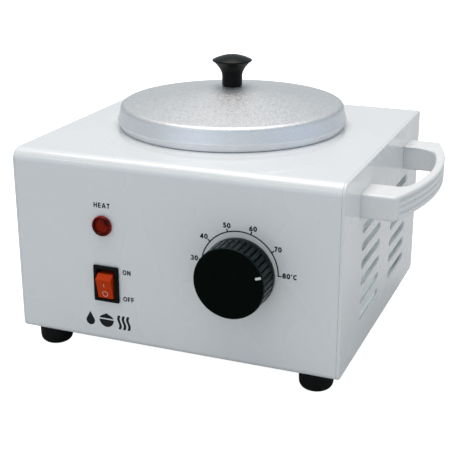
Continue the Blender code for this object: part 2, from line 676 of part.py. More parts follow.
def build_strap():
    """Bent steel strap that carries the well from the floor."""
    top = STRAP_TOP_Z
    foot = FLOOR_Z + GAP
    sheet = STRAP_SHEET
    out = STRAP_HALF + STRAP_FOOT
    outline = [(-out, foot), (-STRAP_HALF, foot), (-STRAP_HALF, top - sheet), (STRAP_HALF, top - sheet),
               (STRAP_HALF, foot), (out, foot), (out, foot + sheet), (STRAP_HALF + sheet, foot + sheet),
               (STRAP_HALF + sheet, top), (-STRAP_HALF - sheet, top), (-STRAP_HALF - sheet, foot + sheet),
               (-out, foot + sheet)]
    bm = bmesh.new()
    prism(bm, "Y", outline, -STRAP_WIDTH / 2, STRAP_WIDTH / 2)
    strap = solid("support_strap", bm, "galvanised_steel", location=(POT_X, POT_Y, 0))
    holes = bmesh.new()
    disc(holes, "Z", (POT_X, POT_Y), 0.0029, top - OVERRUN, top + OVERRUN)
    disc(holes, "Z", (POT_X + CUTOUT_OFFSET, POT_Y), 0.0083, top - OVERRUN, top + OVERRUN, SMALL_STEPS)
    for side in (-1, 1):
        disc(holes, "Z", (POT_X + CUTOUT_OFFSET + side * 0.0120, POT_Y), 0.0015, top - OVERRUN, top + OVERRUN)
        disc(holes, "Z", (POT_X + side * (STRAP_HALF + STRAP_FOOT / 2 + sheet), POT_Y), 0.0022,
             foot - 0.001, foot + OVERRUN)
    cutter("cut_strap_holes", holes, strap)
    screw = screw_mesh("strap_screw", 0.0034, 0.0020, 0.0019, 0.0060)
    for name, side in (("left", -1), ("right", 1)):
        x = POT_X + side * (STRAP_HALF + STRAP_FOOT / 2 + sheet)
        place("strap_screw_" + name, screw, "zinc_plated_steel", location=(x, POT_Y, FLOOR_LOW_Z - GAP),
              rotation=UPSIDE_DOWN)


def build_cutout():
    """Over-temperature cut-out pressed against the well's floor, screwed under the strap."""
    seat = STRAP_TOP_Z - STRAP_SHEET - GAP
    flange = 0.0012
    profile = [(0, STRAP_TOP_Z), (0.0080, STRAP_TOP_Z), (0.0080, seat - flange - 0.0030),
               (0.0070, seat - flange - 0.0030), (0.0070, seat - 0.0110), (0, seat - 0.0110)]
    x = POT_X + CUTOUT_OFFSET
    body = solid("thermal_cutout", lathe(bmesh.new(), profile, SMALL_STEPS), "black_phenolic", smooth=True,
                 location=(x, POT_Y, 0))
    ears = bmesh.new()
    outline = rounded([(-0.0155, -0.0045, 0.002), (0.0155, -0.0045, 0.002),
                       (0.0155, 0.0045, 0.002), (-0.0155, 0.0045, 0.002)], 3)
    prism(ears, "Z", [(x + a, POT_Y + b) for a, b in outline], seat - flange, seat)
    cutter("add_cutout_ears", ears, body, "UNION")
    holes = bmesh.new()
    screw = screw_mesh("cutout_screw", 0.0024, 0.0015, 0.0012, 0.0030)
    for name, side in (("left", -1), ("right", 1)):
        disc(holes, "Z", (x + side * 0.0120, POT_Y), 0.0015, seat - OVERRUN, seat + OVERRUN)
        place("cutout_screw_" + name, screw, "zinc_plated_steel",
              location=(x + side * 0.0120, POT_Y, seat - flange - GAP), rotation=UPSIDE_DOWN)
    cutter("cut_cutout_holes", holes, body)


def build_band_heater():
    """Mica band heater clamped around the well, inside a glass-fibre jacket."""
    gap = 3.0
    where = {"location": (POT_X, POT_Y, 0)}
    start, end = BAND_SPLIT + gap, BAND_SPLIT + 360 - gap
    bm = arc_wall(bmesh.new(), BAND_INNER, BAND_OUTER, *BAND_Z, start, end, ROUND_STEPS)
    band = solid("band_heater", bm, "stainless_steel", smooth=True, **where)
    split = math.radians(BAND_SPLIT)
    out = Vector((math.cos(split), math.sin(split), 0))
    across = Vector((-math.sin(split), math.cos(split), 0))
    half_gap = BAND_INNER * math.sin(math.radians(gap))
    lugs = bmesh.new()
    centre = Vector((POT_X, POT_Y, 0))
    for side in (-1, 1):
        near = half_gap * side
        far = (half_gap + 0.0015) * side
        corners = []
        for reach, offset in ((BAND_INNER + 0.0007, near), (BAND_OUTER + BAND_LUG_REACH, near),
                              (BAND_OUTER + BAND_LUG_REACH, far), (BAND_INNER + 0.0007, far)):
            spot = centre + out * reach + across * offset
            corners.append((spot.x, spot.y))
        prism(lugs, "Z", corners, BAND_Z[0] + 0.008, BAND_Z[1] - 0.008)
    cutter("add_band_lugs", lugs, band, "UNION")

    hole = bmesh.new()
    middle = centre + out * (BAND_OUTER + BAND_LUG_REACH * 0.55)
    middle.z = sum(BAND_Z) / 2
    turn = Matrix.Translation(middle) @ across.to_track_quat("Z", "Y").to_matrix().to_4x4()
    disc(hole, "Z", (0, 0), 0.0023, -0.0100, 0.0100)
    bmesh.ops.transform(hole, matrix=turn, verts=hole.verts)
    cutter("cut_band_clamp", hole, band)
    lug_face = half_gap + 0.0015 + GAP
    place("band_clamp_screw", screw_mesh("band_clamp_screw", 0.0036, 0.0022, 0.0020, 0.0150),
          "zinc_plated_steel", location=middle - across * lug_face,
          rotation=(-across).to_track_quat("Z", "Y").to_euler())
    place("band_clamp_nut", hex_nut("band_clamp_nut", 0.007, 0.0023, 0.0032), "zinc_plated_steel",
          location=middle + across * lug_face, rotation=across.to_track_quat("Z", "Y").to_euler())

    opening = 12.0
    jacket = arc_wall(bmesh.new(), JACKET_INNER, JACKET_OUTER, *JACKET_Z,
                      BAND_SPLIT + opening, BAND_SPLIT + 360 - opening, ROUND_STEPS)
    solid("insulation_jacket", jacket, "glass_fibre", smooth=True, **where)


# ---- front controls --------------------------------------------------------------------
def build_thermostat():
    """Capillary thermostat behind the panel; its spindle turns with the knob."""
    inside = FRONT_Y + COVER_SHEET + GAP
    bm = bmesh.new()
    prism(bm, "Y", rectangle(KNOB_X, KNOB_Z, 0.036, 0.030), inside, inside + 0.0175)
    body = solid("thermostat_body", bm, "ceramic")
    bush = bmesh.new()
    disc(bush, "Y", (KNOB_X, KNOB_Z), 0.0050, FRONT_Y - 0.0025, inside + 0.004, SMALL_STEPS)
    cutter("add_thermostat_bush", bush, body, "UNION")
    holes = bmesh.new()
    disc(holes, "Y", (KNOB_X, KNOB_Z), SPINDLE_RADIUS + GAP, FRONT_Y - OVERRUN, inside + 0.0100, SMALL_STEPS)
    screw = screw_mesh("thermostat_screw", 0.0030, 0.0016, 0.0019, 0.0070)
    for name, side in (("left", -1), ("right", 1)):
        x = KNOB_X + side * THERMOSTAT_SCREW_X
        disc(holes, "Y", (x, KNOB_Z), 0.0022, inside - OVERRUN, inside + 0.0080)
        place("thermostat_screw_" + name, screw, "zinc_plated_steel",
              location=(x, FRONT_Y - GAP, KNOB_Z), rotation=TO_FRONT)
    cutter("cut_thermostat_holes", holes, body)


def build_capillary():
    """Copper capillary from the thermostat to its bulb, clipped against the jacket."""
    start = (KNOB_X + 0.010, FRONT_Y + 0.0192, KNOB_Z + 0.005)
    reach = JACKET_OUTER + 0.0035
    path = [start, (KNOB_X + 0.010, FRONT_Y + 0.0230, KNOB_Z + 0.006),
            (KNOB_X + 0.020, FRONT_Y + 0.0300, KNOB_Z + 0.012)]
    for degrees in (-34, -22, -10):
        angle = math.radians(degrees)
        path.append((POT_X + reach * math.cos(angle), POT_Y + reach * math.sin(angle), KNOB_Z + 0.012))
    tube_mesh = tube(bmesh.new(), smooth_path(path, 3), 0.0008, 6)
    capillary = solid("capillary_tube", tube_mesh, "copper", smooth=True)
    bulb_path = []
    for degrees in range(-12, 29, 8):
        angle = math.radians(degrees)
        bulb_path.append((POT_X + reach * math.cos(angle), POT_Y + reach * math.sin(angle), KNOB_Z + 0.012))
    cutter("add_bulb", tube(bmesh.new(), bulb_path, 0.0026, 10), capillary, "UNION")


def knob_rib(r, z, step):
    """Alternate facets of the grip stand proud as ribs."""
    if r == KNOB_RADIUS and step % 2:
        return r - KNOB_RIB_DEPTH
    return r


def build_knob():
    """Ribbed knob with a skirt, a pointer let into its face, and the thermostat spindle."""
    axis = place("knob_axis", None, location=(KNOB_X, FRONT_Y, KNOB_Z), rotation=TO_FRONT)
    bore = SPINDLE_RADIUS + GAP
    bore_end = 0.0120
    hollow_end = 0.0130
    profile = [(0, KNOB_FRONT), (KNOB_RADIUS - 0.0007, KNOB_FRONT), (KNOB_RADIUS, KNOB_FRONT - 0.0004),
               (KNOB_RADIUS, KNOB_SKIRT[1] + 0.0004), (KNOB_SKIRT_RADIUS, KNOB_SKIRT[1]),
               (KNOB_SKIRT_RADIUS, KNOB_SKIRT[0]), (KNOB_RADIUS - 0.0024, KNOB_SKIRT[0]),
               (KNOB_RADIUS - 0.0024, hollow_end), (0.0054, hollow_end), (0.0054, 0.0035),
               (bore, 0.0035), (bore, bore_end), (0, bore_end)]
    bm = lathe(bmesh.new(), profile, 2 * KNOB_RIBS, knob_rib)
    knob = solid("thermostat_knob", bm, "black_plastic", smooth=True, parent=axis)
    pocket = rectangle(POINTER_REACH, 0, POINTER_SIZE[0] + 2 * GAP, POINTER_SIZE[1] + 2 * GAP)
    turn = Matrix.Rotation(math.radians(KNOB_POINTER_ANGLE), 3, "Z")
    pocket_bm = prism(bmesh.new(), "Z", pocket, KNOB_FRONT - 0.0010, KNOB_FRONT + OVERRUN)
    bmesh.ops.transform(pocket_bm, matrix=turn.to_4x4(), verts=pocket_bm.verts)
    tool = cutter("cut_pointer_pocket", pocket_bm, knob)
    tool.parent = axis
    pointer = prism(bmesh.new(), "Z", rectangle(POINTER_REACH, 0, *POINTER_SIZE),
                    KNOB_FRONT - 0.0010 + GAP, KNOB_FRONT + POINTER_PROUD)
    bmesh.ops.transform(pointer, matrix=turn.to_4x4(), verts=pointer.verts)
    solid("knob_pointer", pointer, "white_ink", parent=axis)
    spindle = disc(bmesh.new(), "Z", (0, 0), SPINDLE_RADIUS, -0.0100, bore_end - GAP, SMALL_STEPS)
    solid("thermostat_spindle", spindle, "brass", smooth=True, parent=axis)


def build_lamp():
    """Indicator lamp: ringed lens in front, holder behind, spring nut against the panel."""
    lens = [(0, 0.0022), (0.0030, 0.0021), (0.0040, 0.0016), (0.0044, 0.0030), (0.0050, 0.0034),
            (0.0057, 0.0031), (LAMP_RADIUS, 0.0020), (LAMP_RADIUS, GAP), (0.0046, GAP),
            (0.0046, -0.0060), (0, -0.0060)]
    where = {"location": (LAMP_X, FRONT_Y, LAMP_Z), "rotation": TO_FRONT}
    solid("indicator_lens", lathe(bmesh.new(), lens, SMALL_STEPS), "red_lens", smooth=True, **where)
    inside = COVER_SHEET + GAP
    nut = [(0.0049, -inside), (0.0080, -inside), (0.0080, -inside - 0.0016), (0.0049, -inside - 0.0016)]
    solid("indicator_nut", lathe(bmesh.new(), nut, SMALL_STEPS), "white_plastic", smooth=True, **where)
    body = [(0, -0.0063), (0.0046, -0.0063), (0.0046, -0.0220), (0, -0.0220)]
    solid("indicator_body", lathe(bmesh.new(), body, SMALL_STEPS), "black_plastic", smooth=True, **where)


def build_switch():
    """Snap-in rocker switch: housing with bezel, rocker on side pins, two blade terminals."""
    bezel = bmesh.new()
    prism(bezel, "Y", rectangle(SWITCH_X, SWITCH_Z, *SWITCH_BEZEL), FRONT_Y - 0.0018, FRONT_Y - GAP)
    housing = solid("switch_housing", bezel, "black_plastic")
    case = bmesh.new()
    prism(case, "Y", rectangle(SWITCH_X, SWITCH_Z, *SWITCH_BODY), FRONT_Y - 0.0009, FRONT_Y + 0.0190)
    cutter("add_switch_case", case, housing, "UNION")
    room = bmesh.new()
    prism(room, "Y", rectangle(SWITCH_X, SWITCH_Z, SWITCH_OPENING[0], 0.0186), FRONT_Y, FRONT_Y + 0.0110)
    cutter("cut_switch_room", room, housing)
    mouth = bmesh.new()
    prism(mouth, "Y", rectangle(SWITCH_X, SWITCH_Z, *SWITCH_OPENING), FRONT_Y - OVERRUN, FRONT_Y + 0.0010)
    cutter("cut_switch_mouth", mouth, housing)
    pivot_y = FRONT_Y + ROCKER_PIVOT_DEPTH
    sockets = bmesh.new()
    disc(sockets, "X", (pivot_y, SWITCH_Z), 0.0013, SWITCH_X - 0.0062, SWITCH_X + 0.0062)
    cutter("cut_switch_pins", sockets, housing)

    axis = place("rocker_axis", None, location=(SWITCH_X, pivot_y, SWITCH_Z),
                 rotation=(math.radians(ROCKER_REST_TILT), 0, 0))
    half, face = ROCKER_FACE_HALF, ROCKER_FACE_REACH
    outline = [(-face, -half), (-face + 0.0003, 0), (-face, half), (-0.0061, 0.0078), (-0.0010, 0.0066),
               (0.0018, 0.0030), (0.0018, -0.0030), (-0.0010, -0.0066), (-0.0061, -0.0078)]
    bm = bmesh.new()
    prism(bm, "X", outline, -ROCKER_WIDTH / 2, ROCKER_WIDTH / 2)
    rocker = solid("switch_rocker", bm, "orange_plastic", parent=axis)
    pins = disc(bmesh.new(), "X", (0, 0), 0.0010, -0.0058, 0.0058)
    tool = cutter("add_rocker_pins", pins, rocker, "UNION")
    tool.parent = axis

    for name, side in (("upper", 1), ("lower", -1)):
        z = SWITCH_Z + side * 0.0050
        blade = bmesh.new()
        block(blade, (SWITCH_X - 0.0024, FRONT_Y + 0.0190 + GAP, z - 0.0004),
              (SWITCH_X + 0.0024, FRONT_Y + 0.0255, z + 0.0004))
        solid("switch_terminal_" + name, blade, "brass")


# ---- rear inlet and wiring -------------------------------------------------------------
def build_inlet():
    """Mains inlet socket on the back panel, with three pins and two screws."""
    rear = REAR_Y + GAP
    bm = bmesh.new()
    half_w, half_h = INLET_FLANGE[0] / 2, INLET_FLANGE[1] / 2
    outline = rounded([(INLET_X - half_w, INLET_Z - half_h, 0.006), (INLET_X + half_w, INLET_Z - half_h, 0.006),
                       (INLET_X + half_w, INLET_Z + half_h, 0.006), (INLET_X - half_w, INLET_Z + half_h, 0.006)])
    prism(bm, "Y", outline, rear, rear + INLET_PROUD)
    inlet = solid("mains_inlet", bm, "black_plastic")
    body = bmesh.new()
    prism(body, "Y", rectangle(INLET_X, INLET_Z, *INLET_BODY), REAR_Y - INLET_DEPTH, rear + INLET_PROUD / 2)
    cutter("add_inlet_body", body, inlet, "UNION")
    holes = bmesh.new()
    sinks = bmesh.new()
    socket = rectangle(INLET_X, INLET_Z, *INLET_SOCKET)
    prism(holes, "Y", socket, rear + INLET_PROUD - 0.0165, rear + OVERRUN)
    screw = screw_mesh("inlet_screw", 0.0028, 0.0013, 0.0015, 0.0080)
    for name, side in (("left", -1), ("right", 1)):
        x = INLET_X + side * INLET_SCREW_X
        disc(holes, "Y", (x, INLET_Z), 0.0018, rear - OVERRUN, rear + OVERRUN)
        disc(sinks, "Y", (x, INLET_Z), 0.0032, rear + 0.0005, rear + OVERRUN)
        place("inlet_screw_" + name, screw, "zinc_plated_steel",
              location=(x, rear + 0.0005 + GAP, INLET_Z), rotation=TO_REAR)
    floor = rear + INLET_PROUD - 0.0165
    for name, dx, dz in (("line", -0.0070, -0.0020), ("earth", 0.0, 0.0020), ("neutral", 0.0070, -0.0020)):
        pin = bmesh.new()
        block(pin, (INLET_X + dx - 0.0010, floor + GAP, INLET_Z + dz - 0.0020),
              (INLET_X + dx + 0.0010, rear + INLET_PROUD - 0.0030, INLET_Z + dz + 0.0020))
        solid("inlet_pin_" + name, pin, "brass")
    cutter("cut_inlet_holes", holes, inlet)
    cutter("cut_inlet_screw_heads", sinks, inlet)


def build_terminal_block():
    """Small terminal block screwed to the floor from below."""
    low = FLOOR_Z + GAP
    x, y = TERMINAL_X, TERMINAL_Y
    bm = bmesh.new()
    sx, sy, sz = TERMINAL_SIZE
    block(bm, (x - sx / 2, y - sy / 2, low), (x + sx / 2, y + sy / 2, low + sz))
    body = solid("terminal_block", bm, "white_plastic")
    hole = disc(bmesh.new(), "Z", (x, y), 0.0018, low - OVERRUN, low + 0.0080)
    cutter("cut_terminal_hole", hole, body)
    place("terminal_block_screw", screw_mesh("terminal_block_screw", 0.0030, 0.0018, 0.0015, 0.0080),
          "zinc_plated_steel", location=(x, y, FLOOR_LOW_Z - GAP), rotation=UPSIDE_DOWN)


def build_wires():
    """Insulated wires between inlet, terminal block, switch and lamp."""
    block_top = FLOOR_Z + GAP + TERMINAL_SIZE[2] + WIRE_END
    switch_back = FRONT_Y + 0.0255 + WIRE_END
    runs = {
        "inlet_wire_line": [
            (INLET_X - 0.0070, REAR_Y - INLET_DEPTH - WIRE_END, INLET_Z), (INLET_X - 0.0090, 0.0590, INLET_Z + 0.001),
            (-0.0845, 0.0300, 0.0300), (-0.0860, 0.0000, 0.0300), (TERMINAL_X - 0.0045, -0.0380, 0.0320),
            (TERMINAL_X - 0.0045, TERMINAL_Y + 0.0045, block_top)],
        "switch_wire": [
            (TERMINAL_X + 0.0045, TERMINAL_Y - 0.0045, block_top), (TERMINAL_X + 0.0060, TERMINAL_Y - 0.0060, 0.0330),
            (-0.0580, -0.0560, 0.0395), (SWITCH_X - 0.004, switch_back + 0.0040, SWITCH_Z - 0.0055),
            (SWITCH_X, switch_back, SWITCH_Z - 0.0050)],
        "lamp_wire": [
            (SWITCH_X, switch_back, SWITCH_Z + 0.0050), (SWITCH_X - 0.003, switch_back + 0.0035, SWITCH_Z + 0.0075),
            (LAMP_X - 0.004, FRONT_Y + 0.0300, LAMP_Z - 0.008), (LAMP_X, FRONT_Y + 0.0260, LAMP_Z - 0.0010),
            (LAMP_X, FRONT_Y + 0.0220 + WIRE_END, LAMP_Z)],
    }
    for name, points in runs.items():
        solid(name, tube(bmesh.new(), smooth_path(points, 3), 0.0012, 6), "grey_wire", smooth=True)


def carry_all():
    """Hang every unparented object from one empty, so the origin is under the middle."""
    empty = place("row_origin", None, location=(-ORIGIN_X, -ORIGIN_Y, 0))
    for obj in list(bpy.data.objects):
        if obj is not empty and obj.parent is None:
            obj.parent = empty


def main():
    clear_scene()
    build_cover()
    build_chassis()
    build_feet()
    build_handle()
    build_pot()
    build_lid()
    build_well()
    build_strap()
    build_cutout()
    build_band_heater()
    build_thermostat()
    build_capillary()
    build_knob()
    build_lamp()
    build_switch()
    build_inlet()
    build_terminal_block()
    build_wires()
    carry_all()
    bpy.context.view_layer.update()


main()
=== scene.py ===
import json
import math

import bmesh
import bpy
from mathutils import Matrix, Quaternion, Vector


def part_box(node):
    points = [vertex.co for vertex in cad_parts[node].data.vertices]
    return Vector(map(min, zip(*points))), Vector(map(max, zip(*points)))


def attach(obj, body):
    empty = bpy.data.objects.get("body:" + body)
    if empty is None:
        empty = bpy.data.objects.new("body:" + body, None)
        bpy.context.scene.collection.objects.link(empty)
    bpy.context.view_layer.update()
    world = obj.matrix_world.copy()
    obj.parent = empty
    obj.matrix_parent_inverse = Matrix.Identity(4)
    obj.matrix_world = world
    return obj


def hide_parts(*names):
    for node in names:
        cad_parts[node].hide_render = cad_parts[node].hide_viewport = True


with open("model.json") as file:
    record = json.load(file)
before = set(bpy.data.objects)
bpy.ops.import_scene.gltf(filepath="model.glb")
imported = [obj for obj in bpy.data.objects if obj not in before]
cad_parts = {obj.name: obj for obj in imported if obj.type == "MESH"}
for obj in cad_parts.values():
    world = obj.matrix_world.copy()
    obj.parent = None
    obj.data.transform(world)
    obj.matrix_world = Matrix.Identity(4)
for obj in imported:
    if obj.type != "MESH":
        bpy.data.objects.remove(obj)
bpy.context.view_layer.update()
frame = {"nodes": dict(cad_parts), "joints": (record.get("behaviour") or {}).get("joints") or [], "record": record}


# ---- places, all taken from the frame ----
def middle(node):
    low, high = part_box(node)
    return (low + high) / 2


COVER_LOW, COVER_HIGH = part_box("case_cover")
CASE_LOW, CASE_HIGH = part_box("case_chassis")
CASE = (CASE_LOW + CASE_HIGH) / 2
FRONT, REAR, TOP = COVER_LOW.y, COVER_HIGH.y, COVER_HIGH.z
BASE = CASE_LOW.z
WALL = CASE_HIGH.x
HALF_X = (CASE_HIGH.x - CASE_LOW.x) / 2
POT = middle("wax_pot")
KNOB = middle("thermostat_spindle")
LAMP = middle("indicator_lens")
SWITCH = middle("switch_housing")
INLET = middle("mains_inlet")
HANDLE = middle("carry_handle")
ROCKER_PIVOT = Vector(next(joint["pos_m"] for joint in frame["joints"]
                           if joint["name"] == "rocker_tilt"))
SLOT_OF = {part["node"]: part["material_slot"] for part in frame["record"]["subparts"]}

# ---- dimensions ----
GAP = 0.0003
OVERRUN = 0.004                 # how far a cutting shape runs past the face it cuts
COVER_SHEET = 0.0010
SIDE_SHEET = 0.0015
SEAM = 0.00005                  # painted-over line between the cover and each side wall
FLOOR_LOW_Z = BASE + COVER_SHEET + GAP
FLOOR_Z = FLOOR_LOW_Z + 0.0012
FRONT_TOP_RADIUS = 0.0065
REAR_TOP_RADIUS = 0.003
LOWER_RADIUS = 0.0035
FLOOR_INSET = LOWER_RADIUS + GAP
SIDE_EDGE_RADIUS = 0.0009
COVER_FOOT_FLANGE = 0.020
SIDE_FLANGE = 0.0095
FEET = ("front_left", "front_right", "rear_left", "rear_right")
SLOT_ROWS = 6
SLOT_PITCH = 0.0102
SLOT_TOP_Z = BASE + 0.0714
SLOT_HEIGHT = 0.0050
SLOT_SPANS = ((-0.0485, -0.0080), (0.0167, 0.0560))     # from the case's middle
HANDLE_HALF_OUTER = 0.0590
HANDLE_HALF_INNER = 0.0410
HANDLE_ARM_TAPER = 0.0030
HANDLE_ARM_MIDDLE = 0.050       # from the handle's middle to each arm's
HANDLE_CORNER = 0.0178          # from the wall to the grip's outer corners
HANDLE_INNER_CORNER = 0.0185
HANDLE_INNER_ROUND = 0.0060
HANDLE_GRIP = 0.0047            # thickness of the grip at its middle
HANDLE_EDGE = 0.0014
HANDLE_FLUTES = (-0.0034, 0.0, 0.0034)                  # from the grip's middle height
HANDLE_FLUTE_WIDTH = 0.0027
HANDLE_FLUTE_DEPTH = 0.00125
COVER_HOLE_RADIUS = 0.0619
POT_RADIUS = 0.0609
POT_WALL = 0.0012
RING_RADIUS = 0.0667
WELL_RADIUS = 0.0616
WELL_WALL = 0.0012
LID_WALL = 0.0008
LID_LIP_RADIUS = 0.0682
LID_SHOULDER_RADIUS = 0.0666
LID_SHOULDER_ROUND = 0.0029
LID_SHOULDER_RISE = 0.0071      # shoulder's centre above the lid's lip
LID_SHOULDER_SWEEP = 79.0
LID_CROWN = 1.12                # 1 is a plain cone; more is domed
LID_SEAT_RADIUS = 0.0095
KNOB_RADIUS = 0.0195
KNOB_SKIRT_RADIUS = 0.0197
KNOB_SKIRT = (0.0006, 0.0036)
KNOB_RIBS = 36
KNOB_RIB_DEPTH = 0.0008
RIB_STEPS = 10
POINTER_ANGLE = math.radians(18.5)
POINTER_REACH = 0.0171
POINTER_SIZE = (0.0031, 0.0013)
POINTER_ROUND = 0.0003
SWITCH_BEZEL = (0.0153, 0.0211)
SWITCH_BODY = (0.0134, 0.0194)
SWITCH_OPENING = (0.0109, 0.0175)
SWITCH_ROOM = (0.0109, 0.0186)
ROCKER_TILT = math.radians(13.0)
ROCKER_HALF_WIDTH = 0.0046
ROCKER_FACE_HALF = 0.0059       # half the height of the rocker's dished face
ROCKER_MARK_LINE = 0.00023
DIAL_CENTRE = (KNOB.x - 0.0003, KNOB.z + 0.0013)
DIAL_RADIUS = 0.0215
INK = 0.00004                   # thickness of printed marks
INK_LIFT = 0.00001              # clearance behind printed marks
SCREW_HOLE = 0.0022
SMALL_SCREW_HOLE = 0.0018
HANDLE_SCREW_HOLE = 0.0025
CLEAR_HOLE = 0.0023             # through feet, lid, lid knob and handle
LAMP_HOLE = 0.0050
SPINDLE_HOLE = 0.0053
INLET_HOLE = (0.0276, 0.0204)
INLET_BODY = (0.0270, 0.0198)
CAMERA_ROLL = -0.175            # degrees


# ---- mesh helpers ----
def arc(centre, radius, start, end, steps):
    """Points on an arc, angles in degrees."""
    points = []
    for i in range(steps + 1):
        angle = math.radians(start + (end - start) * i / steps)
        points.append((centre[0] + radius * math.cos(angle), centre[1] + radius * math.sin(angle)))
    return points


def rounded(corners, steps=8):
    """Outline from (a, b, radius) corners; a corner with radius 0 stays sharp."""
    outline = []
    count = len(corners)
    for i, (a, b, radius) in enumerate(corners):
        if radius <= 0:
            outline.append((a, b))
            continue
        here = Vector((a, b))
        back = (Vector(corners[i - 1][:2]) - here).normalized()
        ahead = (Vector(corners[(i + 1) % count][:2]) - here).normalized()
        half = back.angle(ahead) / 2
        centre = here + (back + ahead).normalized() * radius / math.sin(half)
        first = here + back * radius / math.tan(half) - centre
        last = here + ahead * radius / math.tan(half) - centre
        sweep = first.angle_signed(last)
        for k in range(steps + 1):
            spoke = first.copy()
            spoke.rotate(Matrix.Rotation(-sweep * k / steps, 2))
            outline.append(tuple(centre + spoke))
    return outline


def rectangle(a, b, width, height, radius=0.0, steps=4):
    w, h = width / 2, height / 2
    return rounded([(a - w, b - h, radius), (a + w, b - h, radius),
                    (a + w, b + h, radius), (a - w, b + h, radius)], steps)


def axis_point(axis, along, a, b):
    return {"X": (along, a, b), "Y": (a, along, b), "Z": (a, b, along)}[axis]


def loft(bm, axis, sections):
    """Closed solid through (place along the axis, outline) sections of equal length."""
    rings = [[bm.verts.new(axis_point(axis, along, a, b)) for a, b in outline]
             for along, outline in sections]
    for low, high in zip(rings, rings[1:]):
        for i in range(len(low)):
            j = (i + 1) % len(low)
            bm.faces.new((low[i], low[j], high[j], high[i]))
    bm.faces.new(rings[0])
    bm.faces.new(rings[-1])
    return bm


def prism(bm, axis, outline, low, high):
    return loft(bm, axis, ((low, outline), (high, outline)))


def slab(bm, axis, a, b, low, high):
    """Box along an axis, with its two ranges across it."""
    return prism(bm, axis, [(a[0], b[0]), (a[1], b[0]), (a[1], b[1]), (a[0], b[1])], low, high)


def disc(bm, axis, centre, radius, low, high, steps=32):
    return prism(bm, axis, arc(centre, radius, 0, 360 * (1 - 1 / steps), steps - 1), low, high)


def bore(bm, axis, node, radius, low, high, steps=20):
    """Round cutter along an axis, through a frame node's middle."""
    across = [value for name, value in zip("XYZ", middle(node)) if name != axis]
    return disc(bm, axis, across, radius, low, high, steps)


def cushion(centre, size, levels, steps=5):
    """Block along Y with rounded corners, from (y, how much smaller, corner radius) levels."""
    return loft(bmesh.new(), "Y", [
        (y, rectangle(centre.x, centre.z, size[0] - less, size[1] - less, radius, steps))
        for y, less, radius in levels])


def band(bm, layers, closed):
    """Faces of a thin solid band: each layer holds the vertices along its two edges."""
    (back_left, back_right), (front_left, front_right) = layers
    count = len(back_left)
    for i in range(count if closed else count - 1):
        j = (i + 1) % count
        bm.faces.new((back_left[i], back_left[j], back_right[j], back_right[i]))
        bm.faces.new((front_left[i], front_left[j], front_right[j], front_right[i]))
        bm.faces.new((back_left[i], back_left[j], front_left[j], front_left[i]))
        bm.faces.new((back_right[i], back_right[j], front_right[j], front_right[i]))
    if not closed:
        for i in (0, -1):
            bm.faces.new((back_left[i], back_right[i], front_right[i], front_left[i]))
    return bm


def lathe(bm, profile, steps, radius_at=None):
    """Turn a closed (radius, z) profile about Z. Points at radius 0 meet on the axis."""
    poles = {i: bm.verts.new((0, 0, z)) for i, (r, z) in enumerate(profile) if r == 0}
    columns = []
    for step in range(steps):
        angle = 2 * math.pi * step / steps
        column = []
        for i, (r, z) in enumerate(profile):
            if i in poles:
                column.append(poles[i])
                continue
            reach = radius_at(r, step) if radius_at else r
            column.append(bm.verts.new((reach * math.cos(angle), reach * math.sin(angle), z)))
        columns.append(column)
    count = len(profile)
    for step in range(steps):
        here, following = columns[step], columns[(step + 1) % steps]
        for i in range(count):
            j = (i + 1) % count
            if i in poles and j in poles:
                continue
            corners = (here[i], following[i], following[j], here[j])
            bm.faces.new(dict.fromkeys(corners))
    return bm


def moved(bm, matrix):
    bmesh.ops.transform(bm, matrix=matrix, verts=bm.verts)
    return bm


def facing_front(bm, centre):
    """Turn a shape made along +Z so that it points out of the front panel."""
    return moved(bm, Matrix.Translation((centre.x, FRONT, centre.z))
                 @ Matrix.Rotation(math.radians(90), 4, "X"))


def add(name, data):
    obj = bpy.data.objects.new(name, data)
    bpy.context.scene.collection.objects.link(obj)
    return obj


def raw(name, bm):
    bmesh.ops.recalc_face_normals(bm, faces=bm.faces)
    mesh = bpy.data.meshes.new(name)
    bm.to_mesh(mesh)
    bm.free()
    return add(name, mesh)


def turned(name, profile, steps, centre=POT):
    """Object turned about the upright axis through a place."""
    bm = lathe(bmesh.new(), profile, steps)
    return raw(name, moved(bm, Matrix.Translation((centre.x, centre.y, 0))))


def carve(obj, tool, operation="DIFFERENCE"):
    """Cut or join shapes with an exact Boolean and keep only the result."""
    helper = raw("helper", tool)
    step = obj.modifiers.new("shape", "BOOLEAN")
    step.operation = operation
    step.solver = "EXACT"
    step.object = helper
    bpy.context.view_layer.update()
    graph = bpy.context.evaluated_depsgraph_get()
    mesh = bpy.data.meshes.new_from_object(obj.evaluated_get(graph))
    old = obj.data
    obj.modifiers.clear()
    obj.data = mesh
    bpy.data.meshes.remove(old)
    bpy.data.objects.remove(helper, do_unlink=True)


def finish(obj, material, body, *stands_for, edge=0.0, segments=2, slot=None, sharp=38):
    """Edge rounding, smooth shading, material, and the ties to the frame."""
    obj.data.shade_smooth()
    if edge:
        bevel = obj.modifiers.new("edge_round", "BEVEL")
        bevel.width, bevel.segments = edge, segments
        bevel.limit_method, bevel.angle_limit = "ANGLE", math.radians(sharp)
    else:
        obj.data.set_sharp_from_angle(angle=math.radians(sharp))
    normals = obj.modifiers.new("face_weight", "WEIGHTED_NORMAL")
    normals.keep_sharp = True
    normals.weight = 60
    obj.data.materials.clear()
    obj.data.materials.append(look(material))
    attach(obj, body)
    if stands_for:
        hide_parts(*stands_for)


# ---- material helpers ----
LOOKS = {}


